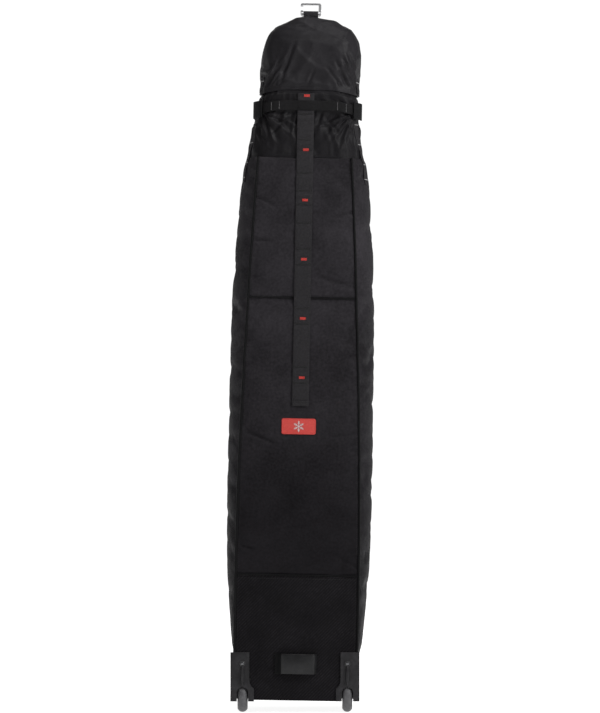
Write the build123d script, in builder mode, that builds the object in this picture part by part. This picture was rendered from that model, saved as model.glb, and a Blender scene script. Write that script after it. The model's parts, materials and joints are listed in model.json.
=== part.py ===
import os
from build123d import *

os.makedirs("parts", exist_ok=True)

# A wheeled, padded snowboard bag standing upright on its two wheels and two rear feet.
# Millimetres, +Z up, wheel face towards -Y, lid towards +Y, origin on the ground under the middle.

# The standing bag drifts sideways a little as it rises, so its cloth parts are built on a leaning plane.
bag_bottom = 34
centre_at_base = -11
lean = 0.0185

# Depths of the layers, from the wheel face (negative) to the lid (positive)
face_front = -100
face_skin = 3
stiffener_thickness = 2
face_foam = 8
lining_thickness = 1
face_back = face_front + face_skin + stiffener_thickness + face_foam + lining_thickness
rim_back = 90
lid_top = 102
gusset_wall = 9
gap = 0.3

# Height above the bag's floor, then half widths of the wheel face, the bulging side and the lid rim
profile = (
    (0, 146, 148.5, 147),
    (112, 147.5, 149.5, 147),
    (297, 148, 166, 147),
    (590, 144, 170, 147),
    (962, 130, 167, 147),
    (1165, 120, 155, 134),
    (1300, 112, 139, 118),
)
boot_seam = 297
face_seam = 962
body_top = 1300

# Height, half widths (face, side, lid), front depth, back depth and sideways shift of the neck
neck_bottom = (1302.3, 112, 139, 118, -100, 101, 0)
neck_middle = (1390, 104, 125, 106, -92, 90, 3)
neck_top = (1446, 100, 120, 102, -88, 80, 6)
neck_wall = 5

# The same seven sizes for the hood, from its hem to its crown
hood_sections = (
    (1453, 98, 119.5, 100, -85, 78, 8),
    (1533, 95, 116, 96, -83, 70, 9.5),
    (1581, 88, 111, 86, -77, 58, 10),
    (1600, 74, 98, 70, -70, 46, 10),
    (1620, 55, 76, 50, -60, 30, 10),
    (1632, 38, 52, 34, -51, 14, 10),
    (1640, 20, 27, 16, -44, 2, 10),
)
hood_wall = 4

# Lid opening: how far in from the rim each ring starts
rim_width = 6
tape_width = 5
bag_tape_margin = rim_width + gap
lid_tape_margin = bag_tape_margin + tape_width + gap
lid_margin = 17
tape_back = 98.5
tape_thickness = 1.7

webbing = 2.2
webbing_half = 20
strap_low = 1413
strap_high = 1437
strap_inner = (103.5, 128.3, 106, -94, 87.5, 4.6)

wheel_offset = 126
wheel_radius = 38
wheel_width = 24
axle_y = -68
axle_z = wheel_radius
axle_radius = 4
bearing_radius = 11
core_radius = 17
plate_thickness = 3.7
plate_low = 28
plate_high = 146
well_half = 17.5
well_wall = 3
well_top = 83
well_back = -26
screw_z = 119

slider_x = 147 - lid_tape_margin + gap / 2
lower_slider_height = 600
upper_slider_height = 660

hook_height = 1652
hook_x = 8
hook_y = -21
hook_bar = 3.2

bag = Plane(
    origin=(centre_at_base, 0, bag_bottom), x_dir=(1, 0, -lean), z_dir=(lean, 0, 1)
)


def front(depth):
    # Plane across the bag at one depth: x to the side, y up the bag, normal towards -Y
    origin = bag.from_local_coords(Vector(0, depth, 0))
    return Plane(origin=origin, x_dir=bag.x_dir, z_dir=(0, -1, 0))


def side(offset):
    # Plane along the bag at one sideways offset: x is depth, y up the bag, normal towards +X
    origin = bag.from_local_coords(Vector(offset, 0, 0))
    return Plane(origin=origin, x_dir=(0, 1, 0), z_dir=bag.x_dir)


def half_width(height, column):
    # Half width at a height, on straight lines between the profile's stations
    for low, high in zip(profile, profile[1:]):
        if height <= high[0]:
            part_way = (height - low[0]) / (high[0] - low[0])
            return low[column] + part_way * (high[column] - low[column])
    return profile[-1][column]


def panel_points(bottom, top, column, margin):
    # Outline of a flat panel that follows the bag's taper, inset by a margin
    between = [row[0] for row in profile if bottom < row[0] < top]
    heights = [bottom, *between, top]
    right = [(half_width(h, column) - margin, h) for h in heights]
    left = [(-x, h) for x, h in reversed(right)]
    return right + left


def panel(bottom, top, column, margin, depth, thickness):
    with BuildPart() as slab:
        with BuildSketch(front(depth)):
            with BuildLine():
                Polyline(*panel_points(bottom, top, column, margin), close=True)
            make_face()
        extrude(amount=-thickness)
    return slab.part


def ring(margin, width, depth, thickness):
    # Flat ring that follows the lid's outline
    with BuildPart() as band:
        with BuildSketch(front(depth)):
            with BuildLine():
                Polyline(*panel_points(margin, body_top - margin, 3, margin), close=True)
            make_face()
            inner = margin + width
            with BuildLine():
                Polyline(*panel_points(inner, body_top - inner, 3, inner), close=True)
            make_face(mode=Mode.SUBTRACT)
        extrude(amount=-thickness)
    return band.part


def outline(height, face_half, side_half, lid_half, front_y, back_y, shift, inset=0):
    # Closed cross-section of the bag: flat faces joined by bulging sides
    middle = (front_y + back_y) / 2
    low = front_y + inset
    high = back_y - inset
    corners = [
        (shift + face_half - inset, low),
        (shift + side_half - inset, middle),
        (shift + lid_half - inset, high),
    ]
    facing = [(2 * shift - x, y) for x, y in corners]
    with BuildSketch(bag.offset(height)) as section:
        with BuildLine():
            Line(facing[0], corners[0])
            ThreePointArc(*corners)
            Line(corners[2], facing[2])
            ThreePointArc(facing[2], facing[1], facing[0])
        make_face()
    return section.sketch


def save(piece, name):
    piece.label = name
    export_step(piece, f"parts/{name}.step")


def wheel_x(direction):
    return centre_at_base + direction * wheel_offset


def cut_wells():
    # Clears both wheel wells out of the part being built
    for direction in (-1, 1):
        with Locations((wheel_x(direction), (face_front + well_back) / 2, well_top / 2)):
            Box(
                2 * well_half + 4,
                well_back - face_front + 2,
                well_top + 2,
                mode=Mode.SUBTRACT,
            )


def cut_screw_holes():
    for direction in (-1, 1):
        with Locations(Plane((wheel_x(direction), face_front, screw_z), z_dir=(0, -1, 0))):
            Cylinder(2.2, 20, mode=Mode.SUBTRACT)


# ---- Wheel face: skins, stiffener, foam and lining ----

with BuildPart() as boot_panel:
    add(panel(0, boot_seam - gap, 1, 0, face_front, face_skin))
    cut_wells()
    cut_screw_holes()
save(boot_panel.part, "boot_panel")

with BuildPart() as back_panel_lower:
    add(panel(boot_seam, face_seam - gap, 1, 0, face_front, face_skin))
save(back_panel_lower.part, "back_panel_lower")

with BuildPart() as back_panel_upper:
    add(panel(face_seam, body_top, 1, 0, face_front, face_skin))
save(back_panel_upper.part, "back_panel_upper")

stiffener_front = face_front + face_skin
with BuildPart() as back_stiffener:
    add(panel(4, body_top, 1, 3, stiffener_front, stiffener_thickness))
    cut_wells()
    cut_screw_holes()
save(back_stiffener.part, "back_stiffener")

foam_front = stiffener_front + stiffener_thickness
with BuildPart() as back_foam:
    add(panel(4, body_top, 1, 3, foam_front, face_foam))
    cut_wells()
save(back_foam.part, "back_foam")

lining_front = foam_front + face_foam
with BuildPart() as back_lining:
    add(panel(4, body_top, 1, 1, lining_front, lining_thickness))
    cut_wells()
save(back_lining.part, "back_lining")


# ---- Sides: padded gussets that bulge out between the two faces, and their piping ----


def gusset_section(row, direction):
    height, face_half, side_half, lid_half = row
    outer = [
        (direction * face_half, face_back + gap),
        (direction * side_half, 0),
        (direction * lid_half, rim_back - gap),
    ]
    inner = [(x - direction * gusset_wall, y) for x, y in outer]
    with BuildSketch(bag.offset(height)) as section:
        with BuildLine():
            ThreePointArc(*outer)
            Line(outer[2], inner[2])
            ThreePointArc(*reversed(inner))
            Line(inner[0], outer[0])
        make_face()
    return section.sketch


for name, direction in (("gusset_left", -1), ("gusset_right", 1)):
    with BuildPart() as gusset:
        loft([gusset_section(row, direction) for row in profile], ruled=True)
        cut_wells()
    save(gusset.part, name)

piping_low = 118
piping_size = 3
for name, direction in (("piping_left", -1), ("piping_right", 1)):
    edge = [p for p in panel_points(piping_low, body_top, 1, piping_size) if p[0] > 0]
    across = [(x + piping_size, h) for x, h in reversed(edge)]
    with BuildPart() as piping:
        with BuildSketch(front(face_front - gap)):
            with BuildLine():
                Polyline(*[(direction * x, h) for x, h in edge + across], close=True)
            make_face()
        extrude(amount=piping_size - 1)
    save(piping.part, name)


# ---- Floor of the bag ----

floor_cover = 4
floor_board = 3
with BuildPart() as base_panel:
    extrude(outline(-gap, 146, 148.5, 147, face_front, 100, 0), amount=-floor_cover)
    cut_wells()
save(base_panel.part, "base_panel")

with BuildPart() as base_board:
    with BuildSketch(bag.offset(gap)):
        with Locations((0, 2)):
            Rectangle(270, 172)
    extrude(amount=floor_board)
    cut_wells()
save(base_board.part, "base_board")


# ---- Neck: the gathered sleeve under the hood ----

with BuildPart() as neck_sleeve:
    stations = (neck_bottom, neck_middle, neck_top)
    loft([outline(*row) for row in stations], ruled=True)
    loft(
        [outline(*row, inset=neck_wall) for row in stations],
        ruled=True,
        mode=Mode.SUBTRACT,
    )
save(neck_sleeve.part, "neck_sleeve")


# ---- Hood: a hollow cap with its hook webbing ----

with BuildPart() as hood_shell:
    loft([outline(*row) for row in hood_sections], ruled=True)
    inside = [outline(row[0] - hood_wall, *row[1:], inset=hood_wall) for row in hood_sections]
    loft(inside, ruled=True, mode=Mode.SUBTRACT)
save(hood_shell.part, "hood_shell")

loop_radius = hook_bar + 0.3
with BuildPart() as hook_webbing:
    with BuildSketch(side(hook_x - 18)):
        with Locations((hook_y, hook_height)):
            Circle(loop_radius + webbing)
        with Locations((hook_y, hook_height - 7)):
            Rectangle(2 * webbing, 9)
        with Locations((hook_y, hook_height)):
            Circle(loop_radius, mode=Mode.SUBTRACT)
    extrude(amount=36)
save(hook_webbing.part, "hook_webbing")

hook_width = 50
hook_rise = 25
hook_drop = 7
with BuildPart() as hook:
    with BuildSketch(front(hook_y + 1.75)):
        with Locations((hook_x, hook_height + (hook_rise - hook_drop) / 2)):
            RectangleRounded(hook_width, hook_rise + hook_drop, 5)
        with Locations((hook_x, hook_height + 6)):
            Rectangle(hook_width - 13, 28, mode=Mode.SUBTRACT)
        with Locations((hook_x - hook_width / 2, hook_height + 12)):
            Rectangle(16, 9, mode=Mode.SUBTRACT)
    extrude(amount=3.5)
    with BuildSketch(side(hook_x - hook_width / 2 + 2)):
        with Locations((hook_y, hook_height)):
            Circle(hook_bar)
    extrude(amount=hook_width - 4)
save(hook.part, "hook")


# ---- Webbing: centre ladder, side ladders and neck strap ----


def webbing_strip(path, width, centre, thickness):
    # A strip seen edge-on: path points (depth, height) on its inner face, thickened outwards
    back = [(depth - thickness, height) for depth, height in reversed(path)]
    with BuildPart() as strip:
        with BuildSketch(side(centre - width / 2)):
            with BuildLine():
                Polyline(*path, *back, close=True)
            make_face()
        extrude(amount=width)
    return strip.part


ladder_bottom = 705
ladder_path = [
    (face_front - gap, ladder_bottom),
    (face_front - gap, neck_bottom[0]),
    (neck_middle[4] - gap, neck_middle[0]),
    (neck_top[4] - gap, neck_top[0]),
]
with BuildPart() as centre_webbing:
    add(webbing_strip(ladder_path, 2 * webbing_half, 0, webbing))
save(centre_webbing.part, "centre_webbing")

# Small woven tabs at the ladder's hook points, each with the depth of the webbing under it
tab_spacing = 142
tab_places = [(771 + tab_spacing * n, face_front - gap - webbing - 0.1) for n in range(4)]
tab_places += [(1318, -101.4), (1441.5, -91.3)]
with BuildPart() as ladder_tabs:
    for height, depth in tab_places:
        with BuildSketch(front(depth)):
            with Locations((2, height)):
                Rectangle(13, 6)
        extrude(amount=0.8)
save(ladder_tabs.part, "ladder_tabs")


def side_strip(direction, stations, near, far):
    # A strip on the bag's side, seen from the front: points (half width, height, shift)
    inner = [(shift + direction * half, height) for half, height, shift in stations]
    outer = [(x + direction * webbing, height) for x, height in reversed(inner)]
    with BuildPart() as strip:
        with BuildSketch(front(far)):
            with BuildLine():
                Polyline(*inner, *outer, close=True)
            make_face()
        extrude(amount=far - near)
    return strip.part


side_ladder_near = -16
side_ladder_far = 9
side_stations = [(146.3, 1250, 0), (140, 1302, 0), (126, 1390, 3), (121.5, 1446, 6)]
hood_stations = [(120.5, 1453.5, 8), (119.3, 1490, 8.7)]
for name, direction in (("side_webbing_left", -1), ("side_webbing_right", 1)):
    with BuildPart() as side_webbing:
        add(side_strip(direction, side_stations, side_ladder_near, side_ladder_far))
    save(side_webbing.part, name)
for name, direction in (("hood_webbing_left", -1), ("hood_webbing_right", 1)):
    with BuildPart() as hood_webbing:
        add(side_strip(direction, hood_stations, side_ladder_near, side_ladder_far))
    save(hood_webbing.part, name)

strap_height = strap_high - strap_low
strap_y = strap_inner[4]
socket_left = -32
socket_right = 6
tail_left = 28
tail_right = 84
strap_gap_left = socket_left - gap
strap_gap_right = 112.6
with BuildPart() as neck_strap:
    extrude(outline(strap_low, *strap_inner, inset=-webbing), amount=strap_height)
    extrude(outline(strap_low, *strap_inner), amount=strap_height, mode=Mode.SUBTRACT)
    with BuildSketch(front(strap_y - 1)):
        with Locations(((strap_gap_left + strap_gap_right) / 2, (strap_low + strap_high) / 2)):
            Rectangle(strap_gap_right - strap_gap_left, strap_height + 2)
    extrude(amount=-10, mode=Mode.SUBTRACT)
save(neck_strap.part, "neck_strap")

# Side-release buckle at the back of the neck: a hollow socket, and a part whose two arms slide into it
buckle_height = 30
buckle_depth = 9
buckle_mid = (strap_low + strap_high) / 2
buckle_y = strap_y - 0.5
with BuildPart() as buckle_socket:
    with BuildSketch(side(socket_left)):
        with Locations((buckle_y + buckle_depth / 2, buckle_mid)):
            RectangleRounded(buckle_depth, buckle_height, 3)
    extrude(amount=socket_right - socket_left)
    with BuildSketch(side(socket_left + 10)):
        with Locations((buckle_y + buckle_depth / 2, buckle_mid)):
            Rectangle(buckle_depth - 4, buckle_height - 6)
    extrude(amount=socket_right - socket_left, mode=Mode.SUBTRACT)
save(buckle_socket.part, "buckle_socket")

arm_length = 20
with BuildPart() as buckle_arms:
    with BuildSketch(side(socket_right + gap)):
        with Locations((buckle_y + buckle_depth / 2, buckle_mid)):
            RectangleRounded(buckle_depth, buckle_height, 3)
    extrude(amount=tail_left - socket_right - 2 * gap)
    with BuildSketch(side(socket_right - arm_length)):
        for direction in (-1, 1):
            with Locations((buckle_y + buckle_depth / 2, buckle_mid + direction * 8.5)):
                Rectangle(4, 5)
    extrude(amount=arm_length + 1)
save(buckle_arms.part, "buckle_arms")

with BuildPart() as neck_strap_tail:
    with BuildSketch(front(strap_y + 1.5)):
        with Locations(((tail_left + tail_right) / 2, buckle_mid)):
            Rectangle(tail_right - tail_left, strap_height)
    extrude(amount=-webbing)
save(neck_strap_tail.part, "neck_strap_tail")


# ---- Generic woven patch on the wheel face ----

with BuildPart() as front_patch:
    with BuildSketch(front(face_front - gap)):
        with Locations((-3, 654)):
            RectangleRounded(82, 38, 5)
    extrude(amount=1)
save(front_patch.part, "front_patch")


# ---- Handles ----


def arch(plane, span, rise, thickness):
    # Band that rises off a face and comes back to it, seen edge-on: x along the face, y away from it
    half = span / 2
    ramp = 14
    with BuildSketch(plane) as band:
        with BuildLine():
            Polyline(
                (-half, 0),
                (-half + ramp, rise),
                (half - ramp, rise),
                (half, 0),
                (half - thickness * 1.6, 0),
                (half - ramp - thickness, rise - thickness),
                (-half + ramp + thickness, rise - thickness),
                (-half + thickness * 1.6, 0),
                close=True,
            )
        make_face()
    return band.sketch


grab_top = 110
grab_plane = Plane(
    origin=bag.from_local_coords(Vector(0, face_front - gap, grab_top)),
    x_dir=bag.x_dir,
    z_dir=-bag.z_dir,
)
with BuildPart() as grab_handle:
    extrude(arch(grab_plane, 99, 17, 4), amount=50)
save(grab_handle.part, "grab_handle")

haul_centre = 650
haul_half = 15
haul_plane = Plane(
    origin=bag.from_local_coords(Vector(haul_half, lid_top + gap, haul_centre)),
    x_dir=bag.z_dir,
    z_dir=-bag.x_dir,
)
with BuildPart() as haul_handle:
    extrude(arch(haul_plane, 190, 30, 4), amount=2 * haul_half)
save(haul_handle.part, "haul_handle")

tow_axis_height = 1398
tow_axis_y = 100
tow_width = 130
tow_drop = 70
tow_band = 22
with BuildPart() as tow_handle:
    with BuildSketch(front(tow_axis_y + 1.5)):
        with Locations((0, tow_axis_height - tow_drop / 2)):
            RectangleRounded(tow_width, tow_drop, 8)
        with Locations((0, tow_axis_height - tow_drop / 2 + tow_band / 2 + 1)):
            Rectangle(tow_width - 2 * tow_band, tow_drop - tow_band + 2, mode=Mode.SUBTRACT)
    extrude(amount=3)
save(tow_handle.part, "tow_handle")

tow_anchor_x = (tow_width - tow_band) / 2
with BuildPart() as tow_anchors:
    with BuildSketch(front(tow_axis_y - 2.5)):
        for direction in (-1, 1):
            with Locations((direction * tow_anchor_x, tow_axis_height + 5)):
                Rectangle(tow_band + 2, 10)
    extrude(amount=7)
save(tow_anchors.part, "tow_anchors")


# ---- Lid, its rim and the zip ----

with BuildPart() as lid_rim:
    add(ring(0, rim_width, rim_back, 10))
save(lid_rim.part, "lid_rim")

hinge_top = face_seam


def zip_tape(margin):
    # Zip tape on three sides and the taper; the straight side at -X is the cloth hinge
    with BuildPart() as tape:
        add(ring(margin, tape_width, tape_back, tape_thickness))
        with BuildSketch(front(tape_back - 1)):
            with Locations((-150, hinge_top / 2)):
                Rectangle(60, hinge_top - 2 * margin - 10)
        extrude(amount=-10, mode=Mode.SUBTRACT)
    return tape.part


with BuildPart() as zip_tape_bag:
    add(zip_tape(bag_tape_margin))
save(zip_tape_bag.part, "zip_tape_bag")

with BuildPart() as zip_tape_lid:
    add(zip_tape(lid_tape_margin))
save(zip_tape_lid.part, "zip_tape_lid")

lid_layers = (
    ("lid_lining", rim_back, 1),
    ("lid_foam", rim_back + 1, 8),
    ("lid_panel", rim_back + 9, 3),
)
for name, depth, thickness in lid_layers:
    with BuildPart() as layer:
        add(panel(lid_margin, body_top - lid_margin, 3, lid_margin, depth, thickness))
    save(layer.part, name)

slider_size = 16
slider_width = 8.4
pull_drop = 34
for name, height in (("lower", lower_slider_height), ("upper", upper_slider_height)):
    with BuildPart() as slider:
        with BuildSketch(front(tape_back + tape_thickness + gap)):
            with Locations((slider_x, height)):
                RectangleRounded(slider_width, slider_size, 3)
        extrude(amount=-4)
        with BuildSketch(front(tape_back + tape_thickness + gap + 4)):
            with Locations((slider_x, height + 3), (slider_x, height - 4.5)):
                Rectangle(4, 3)
        extrude(amount=-3.5)
        with BuildSketch(front(tape_back + tape_thickness + gap + 7)):
            with Locations((slider_x, height - 0.75)):
                Rectangle(4, 10.5)
        extrude(amount=-1.5)
    save(slider.part, f"zip_slider_{name}")
    with BuildPart() as pull:
        with BuildSketch(front(tape_back + tape_thickness + gap + 4.6)):
            with Locations((slider_x, height - pull_drop / 2)):
                RectangleRounded(9, pull_drop, 3)
            with Locations((slider_x, height - 4)):
                Rectangle(5, 6.5, mode=Mode.SUBTRACT)
        extrude(amount=-1.6)
    save(pull.part, f"zip_pull_{name}")


# ---- Board straps inside, each with a ladder buckle ----

strap_half_span = 150
board_strap_y = 44
board_strap_half = 19
for name, height in (("board_strap_lower", 360), ("board_strap_upper", 940)):
    with BuildPart() as board_strap:
        with BuildSketch(front(board_strap_y)):
            for direction in (-1, 1):
                with Locations((direction * (strap_half_span + 22.3) / 2, height)):
                    Rectangle(strap_half_span - 22.3, 2 * board_strap_half)
        extrude(amount=-2)
    save(board_strap.part, name)

with BuildPart() as board_strap_buckles:
    for height in (360, 940):
        with BuildSketch(front(board_strap_y - 2)):
            with Locations((0, height)):
                RectangleRounded(44, 46, 5)
            with Locations((-13, height), (13, height)):
                Rectangle(6, 36, mode=Mode.SUBTRACT)
        extrude(amount=-6)
save(board_strap_buckles.part, "board_strap_buckles")


# ---- Wheels, housings and feet ----

for name, direction in (("left", -1), ("right", 1)):
    centre_x = wheel_x(direction)
    across = Plane(
        origin=(centre_x, axle_y, axle_z), x_dir=(1, 0, 0), z_dir=(0, 1, 0)
    )
    turning = Axis((centre_x, axle_y, axle_z), (1, 0, 0))

    with BuildPart() as tyre:
        with BuildSketch(across):
            with Locations((0, (core_radius + wheel_radius) / 2)):
                RectangleRounded(wheel_width, wheel_radius - core_radius, 4)
            with Locations((0, wheel_radius - 8)):
                Rectangle(wheel_width + 2, 18, mode=Mode.SUBTRACT)
            with BuildLine():
                tread = ThreePointArc((-12, 21), (0, 38), (12, 21))
                Line(tread @ 1, tread @ 0)
            make_face()
        revolve(axis=turning)
    save(tyre.part, f"tyre_{name}")

    with BuildPart() as core:
        with BuildSketch(across):
            with Locations((0, (bearing_radius + core_radius) / 2)):
                Rectangle(22, core_radius - bearing_radius)
            with Locations((0, 8.5)):
                Rectangle(6, 5)
        revolve(axis=turning)
    save(core.part, f"wheel_core_{name}")

    with BuildPart() as bearings:
        with BuildSketch(across):
            with Locations((-6.7, 7.525), (6.7, 7.525)):
                Rectangle(7, 6.95)
        revolve(axis=turning)
    save(bearings.part, f"wheel_bearings_{name}")

    with BuildPart() as axle:
        with BuildSketch(Plane(origin=(centre_x - 19, axle_y, axle_z), z_dir=(1, 0, 0))):
            Circle(axle_radius)
        extrude(amount=38)
        for end in (-1, 1):
            start = (centre_x + end * (well_half + 0.1), axle_y, axle_z)
            with BuildSketch(Plane(origin=start, z_dir=(end, 0, 0))):
                Circle(6.5)
            extrude(amount=1.4)
    save(axle.part, f"axle_{name}")

    plate_back = face_front - gap
    with BuildPart() as housing:
        plate_plane = Plane(
            origin=(centre_x, plate_back, 0), x_dir=(1, 0, 0), z_dir=(0, -1, 0)
        )
        outboard = direction * 28.9
        with BuildSketch(plate_plane):
            with BuildLine():
                Polyline(
                    (outboard, plate_low),
                    (outboard, plate_high),
                    (direction * -16.5, plate_high),
                    (direction * -16.5, 76),
                    (direction * -20, 66),
                    (direction * -27.5, 58),
                    (direction * -27.5, plate_low),
                    close=True,
                )
            make_face()
            with Locations((0, 38)):
                Rectangle(27, 22, mode=Mode.SUBTRACT)
            with Locations((0, 48.5)):
                Circle(13.5, mode=Mode.SUBTRACT)
            with Locations((0, screw_z)):
                Circle(2.2, mode=Mode.SUBTRACT)
        extrude(amount=plate_thickness)
        # Raised rib above the wheel arch
        with BuildSketch(plate_plane.offset(plate_thickness)):
            with Locations((0, 88)):
                SlotOverall(44, 9, rotation=90)
        extrude(amount=2)
        # Wing that wraps the corner
        with Locations((centre_x + direction * 27.3, -72, 84)):
            Box(3.2, 57, 112)
        # Well around the wheel, open below and at the arch
        well_depth = well_back - plate_back
        well_y = (plate_back + well_back) / 2
        well_height = well_top - plate_low
        well_z = (plate_low + well_top) / 2
        with Locations((centre_x, well_y, well_z)):
            Box(2 * well_half, well_depth, well_height)
        with Locations((centre_x, well_y - well_wall, well_z - well_wall)):
            Box(2 * (well_half - well_wall), well_depth, well_height, mode=Mode.SUBTRACT)
        with BuildSketch(Plane(origin=(centre_x - 30, axle_y, axle_z), z_dir=(1, 0, 0))):
            Circle(axle_radius)
        extrude(amount=60, mode=Mode.SUBTRACT)
    save(housing.part, f"wheel_housing_{name}")

with BuildPart() as housing_screws:
    for direction in (-1, 1):
        start = (wheel_x(direction), face_front - gap - plate_thickness - 0.05, screw_z)
        with BuildSketch(Plane(origin=start, z_dir=(0, -1, 0))):
            Circle(5)
        extrude(amount=2.2, taper=25)
        with BuildSketch(Plane(origin=start, z_dir=(0, -1, 0))):
            Circle(2)
        extrude(amount=-8)
save(housing_screws.part, "housing_screws")

foot_y = 65
for name, direction in (("foot_left", -1), ("foot_right", 1)):
    with BuildPart() as foot:
        with BuildSketch(bag.offset(-gap - floor_cover - 0.2)):
            with Locations((direction * wheel_offset, foot_y)):
                RectangleRounded(16, 44, 6)
        extrude(amount=-45)
        with BuildSketch(bag.offset(-gap - floor_cover - 0.2)):
            with Locations((direction * wheel_offset, foot_y)):
                RectangleRounded(34, 60, 8)
        extrude(amount=-3)
        split(bisect_by=Plane.XY, keep=Keep.TOP)
    save(foot.part, name)
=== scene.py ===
import bpy
import json
import math
import numpy as np
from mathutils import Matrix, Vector, noise
from mathutils.bvhtree import BVHTree


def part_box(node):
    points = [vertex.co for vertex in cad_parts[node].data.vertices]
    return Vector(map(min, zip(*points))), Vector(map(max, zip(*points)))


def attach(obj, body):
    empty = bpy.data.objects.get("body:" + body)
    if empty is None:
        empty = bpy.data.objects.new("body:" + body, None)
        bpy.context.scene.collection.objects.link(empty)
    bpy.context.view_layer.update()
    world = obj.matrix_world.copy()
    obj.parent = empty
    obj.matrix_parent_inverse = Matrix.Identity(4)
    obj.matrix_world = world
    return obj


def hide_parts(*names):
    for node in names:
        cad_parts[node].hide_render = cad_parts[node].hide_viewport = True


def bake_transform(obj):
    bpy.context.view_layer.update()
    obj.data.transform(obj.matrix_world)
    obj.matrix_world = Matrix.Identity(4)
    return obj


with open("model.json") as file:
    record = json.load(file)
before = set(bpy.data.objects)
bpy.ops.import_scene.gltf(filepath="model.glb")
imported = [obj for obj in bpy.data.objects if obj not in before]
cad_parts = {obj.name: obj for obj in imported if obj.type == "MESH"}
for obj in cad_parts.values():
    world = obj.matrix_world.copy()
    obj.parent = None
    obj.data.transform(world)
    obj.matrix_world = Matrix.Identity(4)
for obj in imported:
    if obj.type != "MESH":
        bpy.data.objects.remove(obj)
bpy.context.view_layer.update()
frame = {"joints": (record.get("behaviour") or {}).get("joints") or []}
print("frame loaded")

mm = 0.001
joints = {j["name"]: j for j in frame["joints"]}


def boxOf(node):
    low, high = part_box(node)
    return Vector(low), Vector(high)


def middleOf(node):
    low, high = boxOf(node)
    return (low + high) / 2


# The cloth parts lean a little, along the lid's hinge line
bagUp = Vector(joints["lid_open"]["axis"]).normalized()
bagAcross = Vector((0, 1, 0)).cross(bagUp)
wheelLeft = middleOf("tyre_left")
wheelRight = middleOf("tyre_right")
bagFoot = Vector(((wheelLeft.x + wheelRight.x) / 2, 0, middleOf("base_panel").z + 2.3 * mm))


def place(x, y, h):
    # x sideways, y in depth, h up the bag, all in millimetres
    return bagFoot + bagAcross * (x * mm) + Vector((0, y * mm, 0)) + bagUp * (h * mm)


def bagCoords(p):
    d = Vector(p) - bagFoot
    return d.dot(bagAcross) / mm, d.y / mm, d.dot(bagUp) / mm


# Half widths in millimetres at heights above the bag's floor
bagShape = {
    "height": [0, 112, 297, 440, 590, 780, 962, 1060, 1165, 1230, 1300],
    "face": [146, 147.5, 148, 147, 144, 138, 130, 126, 120, 116.5, 112],
    "side": [148, 150, 166, 170, 170, 169, 167, 163, 155, 151, 139],
    "rim": [146, 147, 147, 147, 147, 147, 147, 141, 134, 127, 118],
    "faceY": -100,
    "rimY": 99,
    "bootTop": 297,
    "seam": 962,
    "top": 1300,
}
softening = np.linspace(-30, 30, 7)


def halfWidth(part, h):
    return float(np.interp(h + softening, bagShape["height"], bagShape[part]).mean())


def deselect():
    bpy.ops.object.select_all(action="DESELECT")


def only(obj):
    deselect()
    obj.select_set(True)
    bpy.context.view_layer.objects.active = obj


def applyAll(obj):
    only(obj)
    for modifier in list(obj.modifiers):
        bpy.ops.object.modifier_apply(modifier=modifier.name)


def settle(obj):
    # Bakes the object's place into its mesh
    only(obj)
    bpy.ops.object.transform_apply(location=True, rotation=True, scale=True)


def smooth(obj, angle=40):
    only(obj)
    bpy.ops.object.shade_smooth_by_angle(angle=math.radians(angle))


def finishPiece(obj, name, body, material, nodes=()):
    obj.name = name
    obj.data.name = name
    obj.data.materials.clear()
    for m in material if isinstance(material, (list, tuple)) else [material]:
        obj.data.materials.append(m)
    if isinstance(body, tuple):
        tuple(body[2])
        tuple(body[3])
        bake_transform(obj)
    else:
        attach(obj, body)
    if nodes:
        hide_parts(*nodes)
    return obj


def gridSheet(name, rows, columns, shape, closed=False):
    # A grid primitive whose points are laid out by shape(u, v), with u and v from 0 to 1
    deselect()
    bpy.ops.mesh.primitive_grid_add(x_subdivisions=columns, y_subdivisions=rows, size=1)
    sheet = bpy.context.active_object
    sheet.name = name
    sheet.data.uv_layers[0].name = "strap"
    for vertex in sheet.data.vertices:
        u, v = vertex.co.x + 0.5, vertex.co.y + 0.5
        vertex.co = shape(u, v)
    if closed:
        bpy.ops.object.mode_set(mode="EDIT")
        bpy.ops.mesh.select_all(action="SELECT")
        bpy.ops.mesh.remove_doubles(threshold=0.00005)
        bpy.ops.object.mode_set(mode="OBJECT")
    return sheet


def pointOutwards(sheet, outward):
    # Turns a sheet over if its faces don't look along outward on the whole
    total = Vector((0, 0, 0))
    for face in sheet.data.polygons:
        total += face.normal * face.area
    if total.dot(outward) < 0:
        only(sheet)
        bpy.ops.object.mode_set(mode="EDIT")
        bpy.ops.mesh.select_all(action="SELECT")
        bpy.ops.mesh.flip_normals()
        bpy.ops.object.mode_set(mode="OBJECT")


clothLook = {"quality": 6, "mass": 0.25, "stretch": 20, "shear": 8, "bend": 0.4, "damping": 12, "frames": 18}


def closeEnds(tube):
    # Caps the open ends of a tube and points its faces outwards
    only(tube)
    bpy.ops.object.mode_set(mode="EDIT")
    bpy.ops.mesh.select_all(action="DESELECT")
    bpy.ops.mesh.select_non_manifold()
    bpy.ops.mesh.edge_face_add()
    bpy.ops.mesh.select_all(action="SELECT")
    bpy.ops.mesh.normals_make_consistent(inside=False)
    bpy.ops.object.mode_set(mode="OBJECT")


def turnOutwards(shell):
    only(shell)
    bpy.ops.object.mode_set(mode="EDIT")
    bpy.ops.mesh.select_all(action="SELECT")
    bpy.ops.mesh.normals_make_consistent(inside=False)
    bpy.ops.object.mode_set(mode="OBJECT")


def meshPiece(name, points, faces):
    # An object made from points and the faces between them
    mesh = bpy.data.meshes.new(name)
    mesh.from_pydata(points, [], faces)
    piece = bpy.data.objects.new(name, mesh)
    bpy.context.scene.collection.objects.link(piece)
    return piece


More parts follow.
